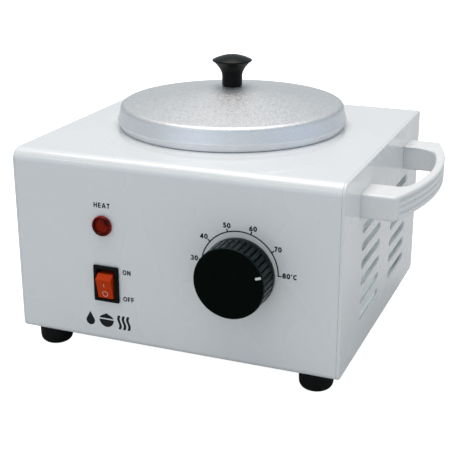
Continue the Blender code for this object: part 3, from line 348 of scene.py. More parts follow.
class Graph:
    """Small wrapper that adds nodes to one material."""

    def __init__(self, name):
        self.material = bpy.data.materials.new(name)
        self.material.use_nodes = True
        self.tree = self.material.node_tree
        self.shader = self.tree.nodes["Principled BSDF"]
        self.where = self.tree.nodes.new("ShaderNodeTexCoord").outputs["Object"]

    def node(self, kind, **values):
        """Add a node; each value goes to its property or to the input of that name."""
        made = self.tree.nodes.new(kind)
        for key, value in values.items():
            if hasattr(made, key):
                setattr(made, key, value)
            else:
                self.feed(made.inputs[key.replace("_", " ")], value)
        return made

    def feed(self, socket, value):
        if isinstance(value, bpy.types.NodeSocket):
            self.tree.links.new(value, socket)
        else:
            socket.default_value = value

    def stretched(self, scale, about=(0, 0, 0)):
        """The place, scaled per axis about a point."""
        return self.node("ShaderNodeMapping", Vector=self.where, Scale=scale,
                         Location=[-a * s for a, s in zip(about, scale)]).outputs["Vector"]

    def noise(self, scale, detail=3.0, rough=0.5, vector=None):
        return self.node("ShaderNodeTexNoise", Vector=vector or self.where, Scale=scale,
                         Detail=detail, Roughness=rough).outputs["Fac"]

    def cells(self, scale, output="Distance"):
        return self.node("ShaderNodeTexVoronoi", Vector=self.where, Scale=scale).outputs[output]

    def span(self, value, low, high, into_low=0.0, into_high=1.0):
        """Map a value from one range to another, clamped."""
        return self.node("ShaderNodeMapRange", Value=value, From_Min=low, From_Max=high,
                         To_Min=into_low, To_Max=into_high).outputs["Result"]

    def math(self, operation, a, b):
        made = self.node("ShaderNodeMath", operation=operation)
        self.feed(made.inputs[0], a)
        self.feed(made.inputs[1], b)
        return made.outputs[0]

    def mix(self, factor, a, b):
        """Mix two colours."""
        made = self.node("ShaderNodeMix", data_type="RGBA")
        self.feed(made.inputs[0], factor)
        for socket, colour in ((made.inputs[6], a), (made.inputs[7], b)):
            self.feed(socket, (*colour, 1.0) if isinstance(colour, tuple) else colour)
        return made.outputs[2]

    def radial(self, centre, axis="Z"):
        """Distance from the axis through a point."""
        keep = {"Y": (1, 0, 1), "Z": (1, 1, 0)}[axis]
        return self.node("ShaderNodeVectorMath", operation="LENGTH",
                         Vector=self.stretched(keep, centre)).outputs["Value"]

    def rings(self, centre, density):
        """Fine lathe lines around an upright axis, as a value."""
        height = self.node("ShaderNodeSeparateXYZ", Vector=self.where).outputs["Z"]
        joined = self.node("ShaderNodeCombineXYZ", X=self.radial(centre), Y=height)
        return self.noise(density, 2.0, 0.6, joined.outputs[0])

    def uneven(self, scale, low, high, detail=3.0):
        """Noise spread from low to high, for roughness."""
        return self.span(self.noise(scale, detail), 0.3, 0.7, low, high)

    def bump(self, *layers):
        """Stack (height, strength, distance) layers into one normal."""
        below = {}
        for height, strength, distance in layers:
            made = self.node("ShaderNodeBump", Strength=strength, Distance=distance,
                             Height=height, **below)
            below = {"Normal": made.outputs["Normal"]}
        self.feed(self.shader.inputs["Normal"], below["Normal"])

    def set(self, **values):
        for key, value in values.items():
            socket = self.shader.inputs[key.replace("_", " ")]
            self.feed(socket, (*value, 1.0) if isinstance(value, tuple) else value)
        return self.material


def powder_coat(name):
    """Gloss white powder coat: faint orange peel over sheet that isn't quite flat."""
    g = Graph(name)
    tone = g.mix(g.noise(22.0, 0.0), (0.771, 0.798, 0.811), (0.783, 0.808, 0.819))
    g.bump((g.noise(45.0, 0.0), 0.03, 0.0004))
    return g.set(Base_Color=tone, Roughness=g.span(g.noise(35.0, 0.0), 0.0, 1.0, 0.23, 0.33),
                 Coat_Weight=0.6, Coat_Roughness=0.04, IOR=1.5)


def white_plastic(name):
    """Moulded white plastic with a faint grain and softer gloss."""
    g = Graph(name)
    tone = g.mix(g.noise(40.0), (0.765, 0.780, 0.785), (0.800, 0.812, 0.816))
    g.bump((g.noise(30.0, 1.0), 0.08, 0.0008), (g.noise(1400.0, 2.0), 0.10, 0.00008))
    return g.set(Base_Color=tone, Roughness=g.uneven(220.0, 0.26, 0.38),
                 Coat_Weight=0.25, Coat_Roughness=0.12, IOR=1.49)


def satin_aluminium(name):
    """Bead-blasted and anodised sheet: bright grain, soft sheen, faint handling marks, and the skirt painted
    lighter as a painted reflection.
    """
    g = Graph(name)
    grain = g.noise(1500.0, 2.0, 0.7)
    soft = g.noise(70.0, 3.0)
    sparkle = g.span(g.cells(1900.0), 0.0, 0.35, 1.0, 0.0)
    tone = g.mix(g.span(grain, 0.30, 0.70), (0.53, 0.548, 0.562), (0.76, 0.775, 0.785))
    tone = g.mix(g.span(soft, 0.40, 0.75, 0.0, 0.25), tone, (0.61, 0.62, 0.64))
    # painted reflection: the outer shoulder, skirt and lip are painted lighter, standing in for the light they
    # reflect
    painted_skirt_reflection = g.span(g.radial(POT), LID_SHOULDER_RADIUS - 0.0011, LID_SHOULDER_RADIUS + 0.0001,
                   0.0, 0.55)
    tone = g.mix(painted_skirt_reflection, tone, (0.86, 0.87, 0.90))
    g.bump((soft, 0.06, 0.0006), (grain, 0.35, 0.00012), (sparkle, 0.10, 0.00008))
    return g.set(Base_Color=tone, Metallic=1.0, Roughness=g.uneven(600.0, 0.42, 0.56))


def bright_aluminium(name):
    """Spun aluminium with lathe lines."""
    g = Graph(name)
    lines = g.rings(POT, 1600.0)
    stain = g.noise(25.0, 4.0)
    tone = g.mix(g.span(stain, 0.45, 0.75), (0.72, 0.73, 0.745), (0.62, 0.63, 0.65))
    g.bump((lines, 0.25, 0.00010), (g.noise(18.0), 0.05, 0.0006))
    return g.set(Base_Color=tone, Metallic=1.0, Roughness=g.span(lines, 0.3, 0.7, 0.24, 0.40))


def rolled_metal(name, light, dark, rough, scale=90.0, stretch=(1, 1, 12)):
    """Metal with drawn-out grain and light staining."""
    g = Graph(name)
    grain = g.noise(scale * 8, 2.0, 0.6, g.stretched(stretch))
    stain = g.noise(scale, 4.0, 0.6)
    g.bump((grain, 0.15, 0.00006))
    return g.set(Base_Color=g.mix(g.span(stain, 0.4, 0.7), light, dark), Metallic=1.0,
                 Roughness=g.uneven(scale * 3, rough, rough + 0.16))


def galvanised(name):
    """Zinc-coated sheet with spangle."""
    g = Graph(name)
    spangle = g.cells(160.0, output="Color")
    tone = g.mix(0.16, (0.52, 0.54, 0.56), spangle)
    g.bump((g.noise(500.0), 0.08, 0.00008))
    return g.set(Base_Color=tone, Metallic=1.0,
                 Roughness=g.span(g.cells(160.0), 0.0, 0.8, 0.34, 0.52))


def moulded(name, light, dark, rough, grain, strength=0.12, specular=0.5):
    """Moulded plastic or rubber: fine texture, slightly uneven gloss and tone."""
    g = Graph(name)
    g.bump((g.noise(60.0, 1.0), 0.05, 0.0004), (g.noise(grain, 2.0, 0.6), strength, 0.00008))
    return g.set(Base_Color=g.mix(g.span(g.noise(130.0, 4.0), 0.35, 0.7), dark, light),
                 Roughness=g.uneven(300.0, rough, rough + 0.14), Specular_IOR_Level=specular)


def red_lens(name):
    """Deep red clear plastic with painted light: a lighter rim as a painted highlight, painted shade over the
    groove and the raised ring, and a painted shadow at the upper right.
    """
    g = Graph(name)
    radius = g.radial(LAMP, "Y")
    # painted shade over the groove and the raised ring, and a painted highlight at the rim
    ring = g.span(radius, 0.0034, 0.0041)
    rim = g.span(radius, 0.0050, 0.0056)
    # painted shadow around a point at the lens's upper right
    painted_shadow_distance = g.radial(LAMP + Vector((0.0030, 0.0, 0.0026)), "Y")
    centre = g.mix(g.span(g.cells(1500.0), 0.0, 0.5), (0.50, 0.032, 0.0010), (0.20, 0.006, 0.0006))
    tone = g.mix(ring, centre, (0.075, 0.0018, 0.0008))
    tone = g.mix(rim, tone, (0.27, 0.010, 0.004))
    tone = g.mix(g.span(painted_shadow_distance, 0.0010, 0.0030, 0.85, 0.0), tone, (0.012, 0.0008, 0.0006))
    g.bump((g.cells(1500.0), 0.20, 0.00010))
    return g.set(Base_Color=tone, Roughness=g.uneven(400.0, 0.12, 0.20),
                 Specular_IOR_Level=0.06, Coat_Weight=0.04, Coat_Roughness=0.04)


def orange_plastic(name):
    """Translucent orange-red moulding."""
    g = Graph(name)
    tone = g.mix(g.noise(260.0, 3.0), (0.50, 0.036, 0.0035), (0.60, 0.054, 0.0055))
    g.bump((g.noise(900.0, 2.0), 0.06, 0.00006))
    return g.set(Base_Color=tone, Roughness=g.uneven(240.0, 0.24, 0.34), Specular_IOR_Level=0.05)


def knob_plastic(name):
    """Black moulding of the knob: a dull flat face inside a glossier ribbed rim, whose lighter teal colour is a
    painted sheen.
    """
    g = Graph(name)
    # rim mask: real extra gloss on the ribbed rim, and a painted sheen in its colour
    rim = g.span(g.radial(KNOB, "Y"), KNOB_RADIUS - 0.0007, KNOB_RADIUS - 0.0003)
    stain = g.span(g.noise(130.0, 4.0), 0.35, 0.7)
    face = g.mix(stain, (0.0008, 0.0022, 0.0011), (0.0013, 0.0030, 0.0017))
    g.bump((g.noise(60.0, 1.0), 0.05, 0.0004), (g.noise(1800.0, 2.0, 0.6), 0.10, 0.00008))
    gloss = g.math("MULTIPLY", rim, 0.12)
    # the rim's lighter teal colour is a painted sheen
    return g.set(Base_Color=g.mix(rim, face, (0.0055, 0.0100, 0.0105)),
                 Roughness=g.math("SUBTRACT", g.uneven(300.0, 0.28, 0.38), gloss),
                 Specular_IOR_Level=g.span(rim, 0.0, 1.0, 0.03, 0.11),
                 Specular_Tint=(0.80, 1.0, 1.0))


def printed(name, light, dark, specular=0.5):
    """Screen-printed ink: matt, slightly uneven cover."""
    g = Graph(name)
    g.bump((g.noise(2200.0, 2.0), 0.10, 0.00002))
    return g.set(Base_Color=g.mix(g.span(g.noise(1800.0, 2.0), 0.45, 0.75), dark, light),
                 Roughness=g.uneven(700.0, 0.42, 0.56), Specular_IOR_Level=specular)


def glass_fibre(name):
    """Woven glass-fibre wrap."""
    g = Graph(name)
    waves = []
    for stretch in ((1, 1, 0.05), (0.05, 0.05, 1)):
        waves.append(g.node("ShaderNodeTexWave", wave_type="BANDS", bands_direction="DIAGONAL",
                            Vector=g.stretched(stretch), Scale=220.0,
                            Distortion=1.5).outputs["Fac"])
    weave = g.math("MULTIPLY", *waves)
    tone = g.mix(weave, (0.62, 0.58, 0.46), (0.80, 0.77, 0.67))
    g.bump((weave, 0.5, 0.0004))
    return g.set(Base_Color=tone, Roughness=g.span(weave, 0.0, 1.0, 0.95, 0.75))


def ceramic(name):
    """Unglazed thermostat body: off-white with dark specks."""
    g = Graph(name)
    speck = g.span(g.cells(700.0), 0.05, 0.12)
    pale = g.mix(g.noise(50.0), (0.74, 0.71, 0.63), (0.80, 0.78, 0.72))
    tone = g.mix(speck, (0.45, 0.42, 0.36), pale)
    g.bump((g.noise(900.0, 3.0), 0.2, 0.0001))
    return g.set(Base_Color=tone, Roughness=g.uneven(300.0, 0.5, 0.65))


# material: (what makes it, its numbers)
MAKERS = {
    "white_powder_coat": (powder_coat,),
    "white_plastic": (white_plastic,),
    "satin_aluminium": (satin_aluminium,),
    "bright_aluminium": (bright_aluminium,),
    "galvanised_steel": (galvanised,),
    "stainless_steel": (rolled_metal, (0.62, 0.61, 0.60), (0.50, 0.48, 0.46), 0.26),
    "zinc_plated_steel": (rolled_metal, (0.68, 0.68, 0.66), (0.55, 0.54, 0.50), 0.28,
                          400.0, (1, 1, 1)),
    "brass": (rolled_metal, (0.72, 0.53, 0.25), (0.55, 0.38, 0.17), 0.26, 300.0),
    "copper": (rolled_metal, (0.74, 0.41, 0.27), (0.50, 0.26, 0.17), 0.28, 300.0),
    "black_plastic": (moulded, (0.0045, 0.0055, 0.0052), (0.0025, 0.0032, 0.0030), 0.30,
                      1800.0, 0.12, 0.08),
    "black_phenolic": (moulded, (0.0030, 0.0042, 0.0040), (0.0018, 0.0026, 0.0025), 0.24,
                       1200.0, 0.05, 0.13),
    "black_rubber": (moulded, (0.0045, 0.0050, 0.0050), (0.0028, 0.0032, 0.0032), 0.52,
                     900.0, 0.3, 0.12),
    "grey_wire": (moulded, (0.33, 0.34, 0.36), (0.25, 0.26, 0.28), 0.42, 1200.0),
    "knob_plastic": (knob_plastic,),
    "orange_plastic": (orange_plastic,),
    "red_lens": (red_lens,),
    "white_ink": (printed, (0.80, 0.80, 0.79), (0.70, 0.70, 0.69)),
    "black_ink": (printed, (0.0045, 0.005, 0.007), (0.010, 0.011, 0.013), 0.15),
    "glass_fibre": (glass_fibre,),
    "ceramic": (ceramic,),
}


def look(name):
    if name not in LOOKS:
        maker, *numbers = MAKERS[name]
        LOOKS[name] = maker(name, *numbers)
    return LOOKS[name]


# ---- case ----
def side_view(depth):
    """Case's corners as (y, z, radius) at a depth below its face, low front round to low rear."""
    front, rear, low, high = FRONT + depth, REAR - depth, BASE + depth, TOP - depth
    return ((front, low, LOWER_RADIUS - depth), (front, high, FRONT_TOP_RADIUS - depth),
            (rear, high, REAR_TOP_RADIUS - depth), (rear, low, LOWER_RADIUS - depth))


def case_outline(inset):
    """Side view of the case, as (y, z)."""
    front_low, front_top, rear_top, rear_low = side_view(inset)
    return rounded([front_low, rear_low, rear_top, front_top], 12)


def cover_skin(depth):
    """Open outline of the bent cover sheet at a depth below its outer face."""
    return rounded([(FRONT + COVER_FOOT_FLANGE, BASE + depth, 0), *side_view(depth),
                    (REAR - COVER_FOOT_FLANGE, BASE + depth, 0)], 14)


def flange_skin(depth, foot_z):
    """Open outline of the side walls' inturned edge at a depth below the case's face."""
    return rounded([(FRONT + depth, foot_z, 0), *side_view(depth)[1:3],
                    (REAR - depth, foot_z, 0)], 10)


def build_cover():
    outline = cover_skin(0) + cover_skin(COVER_SHEET)[::-1]
    half = HALF_X - SIDE_SHEET - SEAM
    cover = raw("case_cover_skin",
                prism(bmesh.new(), "X", outline, CASE.x - half, CASE.x + half))
    top, front, rear, under = ((face - OVERRUN, face + OVERRUN)
                               for face in (TOP, FRONT, REAR, BASE))
    holes = bmesh.new()
    bore(holes, "Z", "wax_pot", COVER_HOLE_RADIUS, *top, 160)
    prism(holes, "Y", rectangle(SWITCH.x, SWITCH.z, *(size + 2 * GAP for size in SWITCH_BODY)),
          *front)
    bore(holes, "Y", "indicator_lens", LAMP_HOLE, *front, 40)
    bore(holes, "Y", "thermostat_spindle", SPINDLE_HOLE, *front, 40)
    for side in ("left", "right"):
        bore(holes, "Y", "thermostat_screw_" + side, SCREW_HOLE, *front)
        bore(holes, "Y", "inlet_screw_" + side, SMALL_SCREW_HOLE, *rear)
    prism(holes, "Y", rectangle(INLET.x, INLET.z, *INLET_HOLE), *rear)
    for name in FEET:
        bore(holes, "Z", "foot_" + name, SCREW_HOLE, *under)
    carve(cover, holes)
    finish(cover, "white_powder_coat", "base", "case_cover", edge=0.00016)


def slot_outlines():
    end = SLOT_HEIGHT / 2
    for row in range(SLOT_ROWS):
        z = SLOT_TOP_Z - row * SLOT_PITCH
        for low, high in SLOT_SPANS:
            yield (arc((CASE.y + low + end, z), end, 90, 270, 12)
                   + arc((CASE.y + high - end, z), end, -90, 90, 12))


def build_chassis():
    edge = SIDE_EDGE_RADIUS
    sections = []
    for turn in range(0, 91, 15):
        inset = edge * (1 - math.sin(math.radians(turn)))
        reach = HALF_X - edge + edge * math.cos(math.radians(turn))
        sections.append((reach, case_outline(inset)))
    chassis = raw("case_chassis_skin", loft(bmesh.new(), "X", [
        (CASE.x - x, outline) for x, outline in sections]
        + [(CASE.x + x, outline) for x, outline in sections[::-1]]))

    inner = HALF_X - SIDE_SHEET
    between = (CASE.x - inner, CASE.x + inner)
    through = (FRONT - OVERRUN, REAR + OVERRUN)
    room = slab(bmesh.new(), "X", through, (FLOOR_Z, TOP + OVERRUN), *between)
    under = slab(bmesh.new(), "X", through, (BASE - OVERRUN, FLOOR_LOW_Z), *between)
    ends = bmesh.new()
    for reach in ((FRONT - OVERRUN, FRONT + FLOOR_INSET), (REAR - FLOOR_INSET, REAR + OVERRUN)):
        slab(ends, "X", reach, (FLOOR_LOW_Z - OVERRUN, FLOOR_Z + OVERRUN), *between)
    for cutter in (room, under, ends):
        carve(chassis, cutter)

    depth = COVER_SHEET + GAP
    foot_z = FLOOR_Z + 0.0030
    skin = flange_skin(depth, foot_z) + flange_skin(depth + COVER_SHEET, foot_z)[::-1]
    flanges = bmesh.new()
    for side in (-1, 1):
        prism(flanges, "X", skin, *sorted((CASE.x + side * (inner - SIDE_FLANGE),
                                           CASE.x + side * (inner + SIDE_SHEET / 3))))
    carve(chassis, flanges, operation="UNION")

    holes = bmesh.new()
    floor = (BASE - OVERRUN, FLOOR_Z + OVERRUN)
    for side, end, hand in ((-1, "front", "left"), (1, "rear", "right")):
        wall = sorted((CASE.x + side * (HALF_X + OVERRUN), CASE.x + side * (inner - OVERRUN)))
        for outline in slot_outlines():
            prism(holes, "X", outline, *wall)
        bore(holes, "X", "handle_screw_" + end, HANDLE_SCREW_HOLE,
             CASE.x + inner - OVERRUN, WALL + OVERRUN)
        bore(holes, "Z", "strap_screw_" + hand, SCREW_HOLE, *floor)
    for name in FEET:
        bore(holes, "Z", "foot_" + name, SCREW_HOLE, *floor)
    bore(holes, "Z", "terminal_block_screw", SMALL_SCREW_HOLE, *floor)
    carve(chassis, holes)
    finish(chassis, "white_powder_coat", "base", "case_chassis", edge=0.00022)


def build_feet():
    """Turned rubber feet: slight draft, a moulded ring around the recess, rounded rim."""
    recess, rim = 0.0040, 0.0042
    for name in FEET:
        node = "foot_" + name
        low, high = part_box(node)
        radius, top = (high.x - low.x) / 2, high.z
        profile = [(CLEAR_HOLE, top), (CLEAR_HOLE, 0.0046), (0.0036, 0.0046), (recess, 0.0042),
                   (recess, 0.0004), (0.0044, 0.0), (0.0054, 0.0)]
        profile += arc((radius - rim - 0.0002, rim), rim, -90, -8, 10)
        profile += [(radius - 0.00012, 0.0052), (radius, top - 0.0012), (radius - 0.0003, top)]
        finish(turned("rubber_" + node, profile, 64, middle(node)),
               "black_rubber", "base", node, sharp=50)


# ---- handle ----
def bow(corner_x, reach, half, steps):
    """Shallow arc from one end of the grip to the other, as (x, y), closer spaced at its ends."""
    rise = reach - corner_x
    radius = (half ** 2 + rise ** 2) / (2 * rise)
    swing = math.asin(half / radius)
    points = []
    for i in range(steps + 1):
        angle = swing * math.sin(math.pi / 2 * (2 * i / steps - 1))
        points.append((reach - radius + radius * math.cos(angle),
                       HANDLE.y + radius * math.sin(angle)))
    return points


def rounded_bow(points, radius, keep):
    """Corners of an arc: its ends rounded, and those between that lie near enough to its middle."""
    between = [(*p, 0) for p in points[1:-1] if abs(p[1] - HANDLE.y) < keep]
    return [(*points[0], radius), *between, (*points[-1], radius)]


def handle_outline(wall, reach):
    """D seen from above, as (x, y)."""
    half = HANDLE_HALF_INNER - HANDLE_ARM_TAPER
    outer = bow(WALL + HANDLE_CORNER, reach, HANDLE_HALF_OUTER, 84)
    inner = bow(WALL + HANDLE_INNER_CORNER, reach - HANDLE_GRIP, half, 40)[::-1]
    return [Vector(p) for p in rounded([
        (wall, HANDLE.y - HANDLE_HALF_OUTER, 0),
        *rounded_bow(outer, 0.0016, HANDLE_HALF_OUTER - 0.0020),
        (wall, HANDLE.y + HANDLE_HALF_OUTER, 0), (wall, HANDLE.y + HANDLE_HALF_INNER, 0),
        *rounded_bow(inner, HANDLE_INNER_ROUND, half - HANDLE_INNER_ROUND),
        (wall, HANDLE.y - HANDLE_HALF_INNER, 0)], 10)]


def build_handle():
    """D-shaped moulding with rounded edges and three flutes along the grip's outer face."""
    low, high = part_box("carry_handle")
    wall = WALL + SEAM
    outline = handle_outline(wall, high.x)

    normals, weights = [], []
    for i, point in enumerate(outline):
        from_middle = point.y - HANDLE.y
        if abs(point.x - wall) < 1e-6:
            arm_side = 1 if abs(from_middle) > HANDLE_ARM_MIDDLE else -1
            normal = Vector((0, math.copysign(arm_side, from_middle)))
        else:
            along = (outline[(i + 1) % len(outline)] - outline[i - 1]).normalized()
            normal = Vector((along.y, -along.x))
        normals.append(normal)
        on_grip = point.x > WALL + HANDLE_CORNER - 0.0005 and normal.x > 0.5
        share = (HANDLE_HALF_OUTER - 0.0040 - abs(from_middle)) / 0.0035
        share = min(max(share, 0.0), 1.0) if on_grip else 0.0
        weights.append(math.sqrt(share * (2 - share)))

    # (height, inset of the whole outline, depth of the flute)
    edge = HANDLE_EDGE
    levels = [(low.z + edge * (1 - math.cos(angle)), edge * (1 - math.sin(angle)), 0.0)
              for angle in map(math.radians, range(0, 91, 15))]
    levels += [(high.z - (z - low.z), inset, 0.0) for z, inset, _ in levels]
    half = HANDLE_FLUTE_WIDTH / 2
    for flute in HANDLE_FLUTES:
        for k in range(-6, 7):
            offset = half * math.sin(math.pi / 2 * k / 6)
            levels.append((HANDLE.z + flute + offset, 0.0,
                           HANDLE_FLUTE_DEPTH * (1 - (offset / half) ** 2)))
    levels.sort()
    sections = [(z, [tuple(point - normal * (inset + flute * weight))
                     for point, normal, weight in zip(outline, normals, weights)])
                for z, inset, flute in levels]
    handle = raw("carry_handle_grip", loft(bmesh.new(), "Z", sections))
    bores = bmesh.new()
    for name in ("front", "rear"):
        bore(bores, "X", "handle_screw_" + name, CLEAR_HOLE, wall - OVERRUN, WALL + 0.0120, 24)
    carve(handle, bores)
    finish(handle, "white_plastic", "base", "carry_handle", sharp=30)


# ---- pot, lid and well ----
def build_pot():
    low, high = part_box("wax_pot")
    floor, rest, wall = low.z, TOP + SEAM, POT_WALL
    corner, inner_bend, ring_bend, ring_edge, neck_bend = 0.0060, 0.0012, 0.0010, 0.0004, 0.0006
    profile = [(0, floor + wall)]
    profile += arc((POT_RADIUS - corner, floor + corner), corner - wall, -90, 0, 10)
    profile += arc((POT_RADIUS - wall + inner_bend, rest + wall - inner_bend), inner_bend,
                   180, 90, 4)
    profile += arc((RING_RADIUS - wall - ring_bend, rest + wall + ring_bend), ring_bend, -90, 0, 4)
    profile += arc((RING_RADIUS - wall / 2, high.z - wall / 2), wall / 2, 180, 0, 8)
    profile += arc((RING_RADIUS - ring_edge, rest + ring_edge), ring_edge, 0, -90, 4)
    profile += arc((POT_RADIUS + neck_bend, rest - neck_bend), neck_bend, 90, 180, 3)
    profile += arc((POT_RADIUS - corner, floor + corner), corner, 0, -90, 12)
    profile += [(0, floor)]
    finish(turned("spun_pot", profile, 180), "bright_aluminium", "pot", "wax_pot", sharp=40)


def lid_skin(depth, low, top):
    """Half section of the lid's sheet at a depth below its outer face, rim to centre."""
    lip = LID_LIP_RADIUS - depth
    bend = LID_SHOULDER_ROUND - depth / 2
    points = [(lip - back, low + rise) for back, rise in
              ((0.0, 0.0003), (0.0, 0.0008), (0.0001, 0.0011), (0.0004, 0.0014))]
    points += arc((LID_SHOULDER_RADIUS - depth - bend, low + LID_SHOULDER_RISE - depth), bend,
                  0, LID_SHOULDER_SWEEP, 12)
    start_r, start_z = points[-1]
    crown_z = top - depth
    for k in range(1, 25):
        t = k / 24
        r = start_r + (LID_SEAT_RADIUS - start_r) * t
        points.append((r, start_z + (crown_z - start_z) * (1 - (1 - t) ** LID_CROWN)))
    return points


def build_lid():
    low, top = (corner.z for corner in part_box("pot_lid"))
    profile = [(CLEAR_HOLE, top - LID_WALL)] + lid_skin(LID_WALL, low, top)[::-1]
    profile += [(LID_LIP_RADIUS - LID_WALL + 0.0002, low), (LID_LIP_RADIUS - 0.0002, low)]
    profile += lid_skin(0, low, top) + [(CLEAR_HOLE, top)]
    finish(turned("satin_lid", profile, 180), "satin_aluminium", "lid", "pot_lid", sharp=40)


def build_lid_knob():
    """Turned phenolic knob: straight stem that opens into a domed cap."""
    low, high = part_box("lid_knob")
    base, top = low.z, high.z
    rim, stem, rim_z = (high.x - low.x) / 2, 0.0060, top - 0.0034
    neck_z, insert_z = base + 0.0056, base + 0.0115
    profile = [(CLEAR_HOLE, base), (stem - 0.0004, base), (stem, base + 0.0004)]
    for k in range(19):
        t = k / 18
        profile.append((stem + (rim - 0.0004 - stem) * t ** 1.9,
                        neck_z + (rim_z - 0.0003 - neck_z) * t))
    profile += arc((rim - 0.0005, rim_z), 0.0005, -50, 60, 5)
    edge_r, edge_z = profile[-1]
    for k in range(1, 15):
        reach = 1 - k / 14
        profile.append((edge_r * reach, top - (top - edge_z) * reach ** 2))
    profile += [(0, insert_z), (CLEAR_HOLE, insert_z)]
    finish(turned("lid_grip", profile, 72), "black_phenolic", "lid", "lid_knob", sharp=50)


def build_well():
    low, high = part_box("heater_well")
    floor, wall = low.z + WELL_WALL, WELL_WALL
    top, flange = high.z, (high.x - low.x) / 2
    corner, lip = 0.0030, 0.0008
    profile = [(0, floor)]
    profile += arc((WELL_RADIUS - corner, floor + corner), corner, -90, 0, 8)
    profile += arc((WELL_RADIUS + lip, top - lip), lip, 180, 90, 4)
    profile += [(flange, top), (flange, top - wall), (WELL_RADIUS + wall, top - wall)]
    profile += arc((WELL_RADIUS + wall - corner, low.z + corner), corner, 0, -90, 8)
    profile += [(0, low.z)]
    finish(turned("spun_well", profile, 160), "bright_aluminium", "base", "heater_well", sharp=40)


# ---- front controls ----
def rib_radius(r, step):
    """Narrow rounded grooves between the knob's grip ribs."""
    if abs(r - KNOB_RADIUS) > 1e-9:
        return r
    across = abs((step % RIB_STEPS) / RIB_STEPS - 0.5) * 2
    return r - KNOB_RIB_DEPTH * max(0.0, 1 - (across / 0.30) ** 2)


def build_knob():
    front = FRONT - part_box("thermostat_knob")[0].y
    low, high = KNOB_SKIRT
    edge, shell, hub, bore_radius, roof = 0.0005, KNOB_RADIUS - 0.0024, 0.0054, 0.0033, 0.0130
    profile = [(0, front), (0.0100, front)]
    profile += arc((KNOB_RADIUS - 0.0001 - edge, front - edge), edge, 90, 10, 6)
    profile += [(KNOB_RADIUS, front - 0.0010), (KNOB_RADIUS, front - 0.0060),
                (KNOB_RADIUS, high + 0.0006), (KNOB_RADIUS + 0.0001, high + 0.0002)]
    profile += arc((KNOB_SKIRT_RADIUS - edge, high - edge), edge, 90, 0, 4)
    profile += [(KNOB_SKIRT_RADIUS, low + 0.0003), (KNOB_SKIRT_RADIUS - 0.0003, low),
                (shell, low), (shell, roof), (hub, roof), (hub, 0.0035),
                (bore_radius, 0.0035), (bore_radius, 0.0120), (0, 0.0120)]
    knob = raw("ribbed_knob", facing_front(
        lathe(bmesh.new(), profile, RIB_STEPS * KNOB_RIBS, rib_radius), KNOB))
    turn = Matrix.Rotation(POINTER_ANGLE, 4, "Z")
    width, height = POINTER_SIZE
    pocket = prism(bmesh.new(), "Z",
                   rectangle(POINTER_REACH, 0, width + GAP, height + GAP, POINTER_ROUND),
                   front - 0.0010, front + OVERRUN)
    carve(knob, facing_front(moved(pocket, turn), KNOB))
    finish(knob, "knob_plastic", "knob", "thermostat_knob", slot="black_plastic", sharp=32)

    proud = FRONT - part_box("knob_pointer")[0].y
    bevel = 0.00012
    sections = [(z, rectangle(POINTER_REACH, 0, width - 2 * inset, height - 2 * inset,
                              POINTER_ROUND - inset))
                for z, inset in ((front - 0.0007, 0.0), (proud - bevel, 0.0), (proud, bevel))]
    pointer = moved(loft(bmesh.new(), "Z", sections), turn)
    finish(raw("knob_pointer_inlay", facing_front(pointer, KNOB)),
           "white_ink", "knob", "knob_pointer")


def build_lamp():
    """Clear red lens: dished face with rings inside a raised rim."""
    low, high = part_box("indicator_lens")
    radius, stem = (high.x - low.x) / 2 - 0.0002, 0.0046
    profile = [(0, 0.0017), (0.0012, 0.00168), (0.0022, 0.00162), (0.0031, 0.0014),
               (0.0037, 0.0011), (0.0040, 0.0012), (0.0042, 0.0018), (0.0045, 0.0023),
               (0.0048, 0.0025), (0.0051, 0.0025), (0.0054, 0.0023), (0.0057, 0.0018),
               (radius, 0.0013), (radius, 0.0006), (radius - 0.0002, GAP), (stem, GAP),
               (stem, -0.0060), (0, -0.0060)]
    lens = raw("lamp_lens", facing_front(lathe(bmesh.new(), profile, 72), LAMP))
    finish(lens, "red_lens", "base", "indicator_lens", sharp=60)


def build_switch():
    x, z = SWITCH.x, SWITCH.z
    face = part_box("switch_housing")[0].y
    housing = raw("switch_bezel", cushion(SWITCH, SWITCH_BEZEL, (
        (FRONT - GAP, 0, 0.0007), (face + 0.0006, 0, 0.0007),
        (face + 0.0002, 0.0005, 0.0006), (face, 0.0012, 0.0005))))
    body = prism(bmesh.new(), "Y", rectangle(x, z, *SWITCH_BODY), FRONT - 0.0009, FRONT + 0.0190)
    carve(housing, body, operation="UNION")
    room = rectangle(x, z, *SWITCH_ROOM)
    carve(housing, prism(bmesh.new(), "Y", room, FRONT, FRONT + 0.0110))
    mouth = rectangle(x, z, *SWITCH_OPENING, 0.0004)
    carve(housing, prism(bmesh.new(), "Y", mouth, FRONT - OVERRUN, FRONT + 0.0010))
    carve(housing, disc(bmesh.new(), "X", (ROCKER_PIVOT.y, z), 0.0013, x - 0.0062, x + 0.0062, 24))
    finish(housing, "black_plastic", "base", "switch_housing", edge=0.00018)


def rocker_face(z):
    """How far the rocker's dished face stands from its pivot, at a height on the face."""
    return 0.0098 - 0.0003 * (1 - (z / ROCKER_FACE_HALF) ** 2)


def on_rocker(bm):
    """Shape made about the rocker's pin, +X along the pin: tilt it to rest and put it in place."""
    return moved(bm, Matrix.Translation(ROCKER_PIVOT) @ Matrix.Rotation(ROCKER_TILT, 4, "X"))


def rocker_print(bm, outer, inner, closed):
    """Thin printed band on the rocker's face, between two edges given as (x, z)."""
    layers = [[[bm.verts.new((x, -rocker_face(z) - proud, z)) for x, z in edge]
               for edge in (outer, inner)] for proud in (INK_LIFT, INK_LIFT + INK)]
    return band(bm, layers, closed)


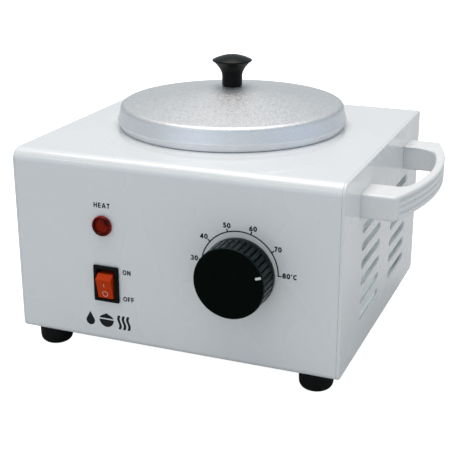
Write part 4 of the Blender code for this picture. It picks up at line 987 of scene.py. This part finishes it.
def build_rocker():
    half = ROCKER_FACE_HALF
    face = [(-rocker_face(z), z) for z in (-half + 2 * half * k / 12 for k in range(13))]
    back = [(-0.0061, 0.0078, 0.0005), (-0.0010, 0.0066, 0.0008), (0.0018, 0.0030, 0.0008)]
    corners = [(*face[0], 0.0006)] + [(*p, 0) for p in face[1:-1]] + [(*face[-1], 0.0006)]
    corners += back + [(y, -z, radius) for y, z, radius in back[::-1]]
    rocker = raw("rocker_cap", on_rocker(prism(
        bmesh.new(), "X", rounded(corners, 4), -ROCKER_HALF_WIDTH, ROCKER_HALF_WIDTH)))
    pins = disc(bmesh.new(), "X", (0, 0), 0.0010, -0.0058, 0.0058, 24)
    carve(rocker, on_rocker(pins), operation="UNION")
    finish(rocker, "orange_plastic", "rocker", "switch_rocker", edge=0.0003, segments=3)

    marks = bmesh.new()
    low_z, high_z, ring_z, ring_radius = 0.0014, 0.0034, -0.0031, 0.0017
    left, right = ([(x, low_z), (x, high_z)] for x in (-ROCKER_MARK_LINE / 2, ROCKER_MARK_LINE / 2))
    rocker_print(marks, left, right, closed=False)
    outer, inner = (arc((0, ring_z), radius, 0, 350, 35)
                    for radius in (ring_radius, ring_radius - ROCKER_MARK_LINE))
    rocker_print(marks, outer, inner, closed=True)
    finish(raw("rocker_marks", on_rocker(marks)), "white_ink", "rocker", sharp=50)


# ---- rear inlet ----
def build_inlet():
    """Mains inlet: rounded flange, countersunk screws, socket with two cut corners."""
    low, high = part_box("mains_inlet")
    rear, face = REAR + GAP, high.y
    x, z = INLET.x, INLET.z
    inlet = raw("inlet_body", cushion(INLET, (high.x - low.x, high.z - low.z), (
        (rear, 0, 0.006), (face - 0.0005, 0, 0.006),
        (face - 0.00015, 0.0005, 0.0058), (face, 0.0012, 0.0055)), 10))
    body = prism(bmesh.new(), "Y", rectangle(x, z, *INLET_BODY, 0.0008), low.y, rear + 0.0011)
    carve(inlet, body, operation="UNION")
    # corners of the right half of the socket, from its middle
    right = [(0.0120, -0.0080, 0.001), (0.0120, 0.0035, 0.0006), (0.0075, 0.0080, 0.0006)]
    left = [(-a, b, radius) for a, b, radius in right]
    socket = rounded([(x + a, z + b, radius) for a, b, radius in
                      (left[0], *right, *left[:0:-1])], 4)
    holes = prism(bmesh.new(), "Y", socket, face - 0.0165, rear + OVERRUN)
    sinks = bmesh.new()
    for name in ("left", "right"):
        screw = "inlet_screw_" + name
        bore(holes, "Y", screw, SMALL_SCREW_HOLE, rear - OVERRUN, rear + OVERRUN, 24)
        bore(sinks, "Y", screw, 0.0032, rear + 0.0005, rear + OVERRUN, 32)
    carve(inlet, holes)
    carve(inlet, sinks)
    finish(inlet, "black_plastic", "base", "mains_inlet", edge=0.0002)
    for name in ("line", "earth", "neutral"):
        low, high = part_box("inlet_pin_" + name)
        centre, size = (low + high) / 2, high - low
        pin = loft(bmesh.new(), "Y", [
            (y, rectangle(centre.x, centre.z, size.x * wide, size.z * tall, 0.0002))
            for y, wide, tall in ((low.y, 1, 1), (high.y - 0.0010, 1, 1),
                                  (high.y - 0.0003, 0.75, 0.85), (high.y, 0.45, 0.7))])
        finish(raw("pin_" + name, pin), "brass", "base", "inlet_pin_" + name, sharp=50)


# ---- screws ----
# start of the node's name: (direction that its head points in, head height, shank radius)
SCREWS = {
    "foot_screw": ((0, 0, -1), 0.0020, 0.0019),
    "strap_screw": ((0, 0, -1), 0.0020, 0.0019),
    "terminal_block_screw": ((0, 0, -1), 0.0018, 0.0015),
    "lid_knob_screw": ((0, 0, -1), 0.0024, 0.0020),
    "inlet_screw": ((0, 1, 0), 0.0013, 0.0015),
}
THREAD_PITCH = 0.0007


def build_screw(node, direction, head, shank):
    """Domed head with a cross recess, and a shank with thread crests."""
    low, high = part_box(node)
    out = Vector(direction)
    length = abs((high - low).dot(out))
    radius = (high.x - low.x) / 2
    seat = length - head
    profile = [(0, length)]
    profile += [(radius * t, length - head * 0.55 * t ** 3) for t in (0.3, 0.55, 0.75, 0.9)]
    profile += [(radius, length - head * 0.62), (radius, seat + 0.0001),
                (radius - 0.0001, seat), (shank, seat)]
    for k in range(int((seat - 0.0012) / THREAD_PITCH)):
        z = seat - 0.0004 - k * THREAD_PITCH
        profile += [(shank, z), (shank * 0.84, z - THREAD_PITCH / 2)]
    profile += [(shank * 0.8, 0.0005), (shank * 0.5, 0.0), (0, 0.0)]
    screw = raw(node + "_head", lathe(bmesh.new(), profile, 40))
    reach, blade, deep = radius * 0.56, radius * 0.13, head * 0.6
    quarter = [(blade, blade), (blade, reach), (-blade, reach)]
    cross = [p for a, b in ((1, 0), (0, 1), (-1, 0), (0, -1))
             for p in ((a * x - b * y, b * x + a * y) for x, y in quarter)]
    carve(screw, loft(bmesh.new(), "Z", [(z, [(a * scale, b * scale) for a, b in cross])
                                         for z, scale in ((length - deep, 0.6),
                                                          (length + 0.0006, 1.05))]))
    tip = (low + high) / 2 - out * length / 2
    turn = (out.to_track_quat("Z", "Y").to_matrix().to_4x4()
            @ Matrix.Rotation(radius * 900, 4, "Z"))
    screw.data.transform(Matrix.Translation(tip) @ turn)
    body = "lid" if node.startswith("lid") else "base"
    finish(screw, "zinc_plated_steel", body, node, sharp=35)


def build_screws():
    for start, shape in SCREWS.items():
        for node in sorted(name for name in frame["nodes"] if name.startswith(start)):
            build_screw(node, *shape)


# ---- printed legends ----
def curve(x, y, wide, tall, start, end):
    """Open stroke along an oval, degrees from +X."""
    return False, [(x + wide * a, y + tall * b) for a, b in arc((0, 0), 1.0, start, end, 24)]


def loop(x, y, wide, tall):
    return True, curve(x, y, wide, tall, 0, 360)[1][:-1]


def line(*points):
    return False, points


def stem(x, top=1.0):
    return line((x, 0.0), (x, top))


def bar(y, left, right):
    return line((left, y), (right, y))


# character: width and strokes, all in parts of the letter height
GLYPHS = {
    "0": (0.68, loop(0.34, 0.50, 0.25, 0.41)),
    "3": (0.64, curve(0.29, 0.705, 0.20, 0.205, -90, 160),
          curve(0.29, 0.30, 0.24, 0.21, -160, 90)),
    "4": (0.70, stem(0.50), line((0.46, 0.93), (0.10, 0.30), (0.70, 0.30))),
    "5": (0.66, line((0.58, 0.91), (0.20, 0.91), (0.14, 0.50)),
          curve(0.30, 0.32, 0.25, 0.23, -155, 125)),
    "6": (0.68, loop(0.34, 0.31, 0.25, 0.22),
          line((0.54, 0.95), (0.36, 0.83), (0.18, 0.60), (0.10, 0.38), (0.10, 0.28))),
    "7": (0.62, line((0.02, 0.91), (0.51, 0.91), (0.22, 0.0))),
    "8": (0.68, loop(0.34, 0.295, 0.25, 0.205), loop(0.34, 0.71, 0.21, 0.20)),
    "°": (0.30, loop(0.15, 0.86, 0.09, 0.09)),
    "A": (0.80, line((0.07, 0.0), (0.37, 1.0)), line((0.43, 1.0), (0.73, 0.0)),
          bar(0.30, 0.18, 0.62)),
    "C": (0.74, curve(0.40, 0.50, 0.31, 0.41, 45, 315)),
    "E": (0.60, stem(0.09), *(bar(y, 0.09, 0.58) for y in (0.09, 0.50, 0.91))),
    "F": (0.58, stem(0.09), *(bar(y, 0.09, 0.56) for y in (0.48, 0.91))),
    "H": (0.72, stem(0.09), stem(0.63), bar(0.50, 0.09, 0.63)),
    "N": (0.72, stem(0.09), stem(0.63), line((0.10, 0.95), (0.62, 0.05))),
    "O": (0.84, loop(0.42, 0.50, 0.33, 0.41)),
    "T": (0.64, bar(0.91, 0.0, 0.64), stem(0.32, 0.91)),
}
STROKE = 0.26                   # stroke width in parts of the letter height
WORD_STROKE = 0.22
DEGREE_STROKE = 0.55            # of the other characters' stroke
TRACKING = 0.17                 # space between letters, in parts of the letter height
PRINT = (FRONT - INK_LIFT, FRONT - INK_LIFT - INK)


def ribbon(points, width, closed):
    """Thin solid band of even width along a centre line on the front panel, given as (x, z)."""
    spots = [Vector(point) for point in points]
    count = len(spots)
    left, right = [], []
    for i, spot in enumerate(spots):
        ahead = (spots[(i + 1) % count] - spot).normalized() if closed or i < count - 1 else None
        behind = (spot - spots[i - 1]).normalized() if closed or i > 0 else None
        ahead, behind = ahead or behind, behind or ahead
        along = (ahead + behind).normalized()
        out = Vector((-along.y, along.x)) * width / 2 / max(0.5, along.dot(ahead))
        left.append(spot + out)
        right.append(spot - out)
    bm = bmesh.new()
    layers = [[[bm.verts.new((a, y, b)) for a, b in edge] for edge in (left, right)]
              for y in PRINT]
    return band(bm, layers, closed)


def lettering(bm, text, x, z, height, stroke=STROKE, tracking=TRACKING):
    """Raised flat lettering centred at a place on the front panel."""
    total = sum(GLYPHS[letter][0] for letter in text) + tracking * (len(text) - 1)
    left, low = x - total * height / 2, z - height / 2
    for letter in text:
        wide, *strokes = GLYPHS[letter]
        width = height * stroke * (DEGREE_STROKE if letter == "°" else 1)
        bands = [ribbon([(left + a * height, low + b * height) for a, b in points], width, closed)
                 for closed, points in strokes]
        glyph = raw("glyph", bands[0])
        for extra in bands[1:]:
            carve(glyph, extra, operation="UNION")
        bm.from_mesh(glyph.data)
        bpy.data.objects.remove(glyph, do_unlink=True)
        left += (wide + tracking) * height
    return bm


def on_panel(bm, outline):
    return prism(bm, "Y", outline, *PRINT[::-1])


def legend(name, bm):
    finish(raw(name, bm), "black_ink", "base", slot="black_plastic", sharp=30)


# text, angle of its tick, place from the dial's centre
DIAL_MARKS = (
    ("30", 172.2, (-0.0255, 0.0035)),
    ("40", 139.8, (-0.0199, 0.0164)),
    ("50", 107.8, (-0.0070, 0.0240)),
    ("60", 73.0, (0.0075, 0.0239)),
    ("70", 34.9, (0.0211, 0.0145)),
    ("80°C", -0.3, (0.0277, 0.0005)),
)
DIAL_OFF = (math.radians(-159.8), 0.0264)               # angle and reach of the off mark
DIAL_LINE = 0.00068
DIAL_TICK = 0.0014
DIGIT_HEIGHT = 0.0027
WORD_HEIGHT = 0.0028


def build_dial():
    """Thin scale line with ticks, and the temperature at each tick."""
    inner, outer = DIAL_RADIUS - DIAL_LINE / 2, DIAL_RADIUS + DIAL_LINE / 2
    half = math.degrees(DIAL_LINE / 2 / DIAL_RADIUS)
    ticks = sorted(angle for _, angle, _ in DIAL_MARKS)
    start, end = ticks[0] - half, ticks[-1] + half
    outline = []
    angle = start
    for tick in ticks:
        steps = max(1, round((tick - half - angle) / 2))
        if tick - half > angle + 1e-6:
            outline += arc(DIAL_CENTRE, outer, angle, tick - half, steps)
        outline += arc(DIAL_CENTRE, outer + DIAL_TICK, tick - half * 0.92, tick + half * 0.92, 1)
        angle = tick + half
    outline += arc(DIAL_CENTRE, inner, end, start, 90)
    legend("dial_scale", on_panel(bmesh.new(), outline))
    numbers = bmesh.new()
    turn, reach = DIAL_OFF
    off = (reach * math.cos(turn), reach * math.sin(turn))
    for text, _, (dx, dz) in (*DIAL_MARKS, ("0", turn, off)):
        lettering(numbers, text, DIAL_CENTRE[0] + dx, DIAL_CENTRE[1] + dz, DIGIT_HEIGHT)
    legend("dial_numbers", numbers)


def build_words():
    for name, text, x, z, tracking in (("lamp_word", "HEAT", -0.04015, 0.08065, 0.24),
                                       ("switch_word_on", "ON", -0.0265, 0.04335, TRACKING),
                                       ("switch_word_off", "OFF", -0.0258, 0.0275, TRACKING)):
        legend(name, lettering(bmesh.new(), text, CASE.x + x, BASE + z, WORD_HEIGHT,
                               WORD_STROKE, tracking))


def build_pictogram():
    """Generic symbols: a drop, a lidded bowl and rising heat."""
    left, base, height = CASE.x - 0.0535, BASE + 0.0085, 0.0083
    radius = 0.0027
    x = left + radius + 0.0004
    legend("symbol_drop", on_panel(bmesh.new(), arc((x, base + radius), radius, 145, 395, 28)
                                   + [(x, base + height)]))

    bowl = bmesh.new()
    x, rim, half, split = left + 0.0133, base + 0.0046, 0.0045, 0.0008
    on_panel(bowl, arc((x, rim), half, 180, 360, 30))
    on_panel(bowl, [(x - half, rim + split), (x + half, rim + split)]
             + arc((x, rim + split - 0.0030), 0.00541, 33.7, 146.3, 16)[1:-1])
    on_panel(bowl, rectangle(x, base + height - 0.0004, 0.0018, 0.0008, 0.0003))
    legend("symbol_bowl", bowl)

    waves = bmesh.new()
    side, swing, pitch = 0.00078, 0.0006, 0.0028
    for k in range(3):
        x = left + 0.0214 + k * pitch
        centre_line = [(x + swing * math.sin(2 * math.pi * t / 12), base + height * t / 12)
                       for t in range(13)]
        on_panel(waves, [(a - side, b) for a, b in centre_line]
                 + [(a + side, b) for a, b in centre_line[::-1]])
    legend("symbol_heat", waves)


# ---- stage ----
ORIGIN = Vector((CASE.x, CASE.y, BASE))                 # that the stage is laid out from
CASE_TOP = Vector((CASE.x, CASE.y, TOP))
# rectangular lights: name, size, power, colour, place, whether only reflections show it
PANELS = (
    ("front_softbox", (1.7, 0.6), 0.9, (0.80, 0.91, 1.0), (0.55, -1.45, 0.62), False),
    ("strip_lamp", (0.9, 0.07), 1.2, (1.0, 1.0, 1.0), (-0.55, -1.20, 0.86), True),
    ("low_front_panel", (1.2, 0.7), 1.40, (0.54, 0.70, 1.0), (-0.40, -1.40, 0.20), True),
    ("right_panel", (1.4, 1.2), 1.60, (0.36, 0.60, 1.0), (1.40, -0.10, 0.25), True),
)


def aim(obj, target):
    """Turn a light or the camera towards a place."""
    obj.rotation_mode = "QUATERNION"
    obj.rotation_quaternion = (target - obj.location).to_track_quat("-Z", "Y")


def add_panel(name, size, energy, colour, place):
    light = bpy.data.lights.new(name, "AREA")
    light.shape = "RECTANGLE"
    light.size, light.size_y = size
    light.energy = energy
    light.color = colour
    panel = add(name, light)
    panel.location = ORIGIN + Vector(place)
    return panel


def build_floor():
    """White sheet that glows softly where it is seen directly."""
    bm = bmesh.new()
    bmesh.ops.create_grid(bm, x_segments=1, y_segments=1, size=9.0)
    floor = raw("floor", bm)
    g = Graph("floor_white")
    seen = g.node("ShaderNodeLightPath").outputs["Is Camera Ray"]
    tone = g.mix(g.noise(3.0), (0.505, 0.515, 0.525), (0.535, 0.54, 0.545))
    floor.data.materials.append(g.set(
        Base_Color=tone, Roughness=0.8, Specular_IOR_Level=0.1, Emission_Color=(1.0, 1.0, 1.0),
        Emission_Strength=g.span(seen, 0, 1, 0, 0.95)))


def build_world():
    """Pale sky for light and reflections, plain white where it is seen directly."""
    world = bpy.data.worlds.new("studio")
    world.use_nodes = True
    tree = world.node_tree
    sky = tree.nodes["Background"]
    sky.inputs["Color"].default_value = (0.86, 0.945, 1.0, 1.0)
    sky.inputs["Strength"].default_value = 0.56
    white = tree.nodes.new("ShaderNodeBackground")
    white.inputs["Color"].default_value = (1.0, 1.0, 1.0, 1.0)
    path = tree.nodes.new("ShaderNodeLightPath")
    mix = tree.nodes.new("ShaderNodeMixShader")
    for source, socket in zip((path.outputs["Is Camera Ray"], sky.outputs[0], white.outputs[0]),
                              mix.inputs):
        tree.links.new(source, socket)
    tree.links.new(mix.outputs[0], tree.nodes["World Output"].inputs["Surface"])
    bpy.context.scene.world = world


def build_lights():
    sun = bpy.data.lights.new("overhead_softbox", "SUN")
    sun.energy = 2.26
    sun.angle = math.radians(55)
    sun.color = (1.0, 0.91, 0.86)
    add("overhead_softbox", sun).rotation_euler = (math.radians(-5), math.radians(-4), 0)
    for *shape, reflected_only in PANELS:
        panel = add_panel(*shape)
        aim(panel, CASE_TOP)
        panel.visible_diffuse = not reflected_only
    for side in (-1, 1):
        glow = add_panel("inner_glow", (0.075, 0.130), 0.033, (0.84, 0.95, 1.0),
                         (side * (HALF_X - 0.0035), 0.0, 0.040))
        glow.rotation_euler = (0, side * math.radians(90), 0)


def build_camera():
    camera = bpy.data.cameras.new("photo_view")
    camera.lens = 82.76
    camera.sensor_width = 36.0
    camera.clip_start = 0.02
    camera.clip_end = 60.0
    eye = add("photo_view", camera)
    eye.location = ORIGIN + Vector((0.22150, -0.55596, 0.25764))
    aim(eye, ORIGIN + Vector((-0.0028, 0.0, 0.0450)))
    roll = Quaternion((0.0, 0.0, 1.0), math.radians(CAMERA_ROLL))
    eye.rotation_quaternion = eye.rotation_quaternion @ roll
    scene = bpy.context.scene
    scene.camera = eye
    scene.view_settings.view_transform = "Standard"
    scene.view_settings.look = "None"


def dress_inner_parts():
    """Frame parts that stay visible get the detailed material of their slot."""
    for name, node in frame["nodes"].items():
        for slot in node.material_slots:
            slot.material = look(SLOT_OF[name])


for build in (build_cover, build_chassis, build_feet, build_handle, build_pot, build_lid,
              build_lid_knob, build_well, build_knob, build_lamp, build_switch, build_rocker,
              build_inlet, build_screws, build_dial, build_words, build_pictogram,
              dress_inner_parts, build_floor, build_world, build_lights, build_camera):
    build()
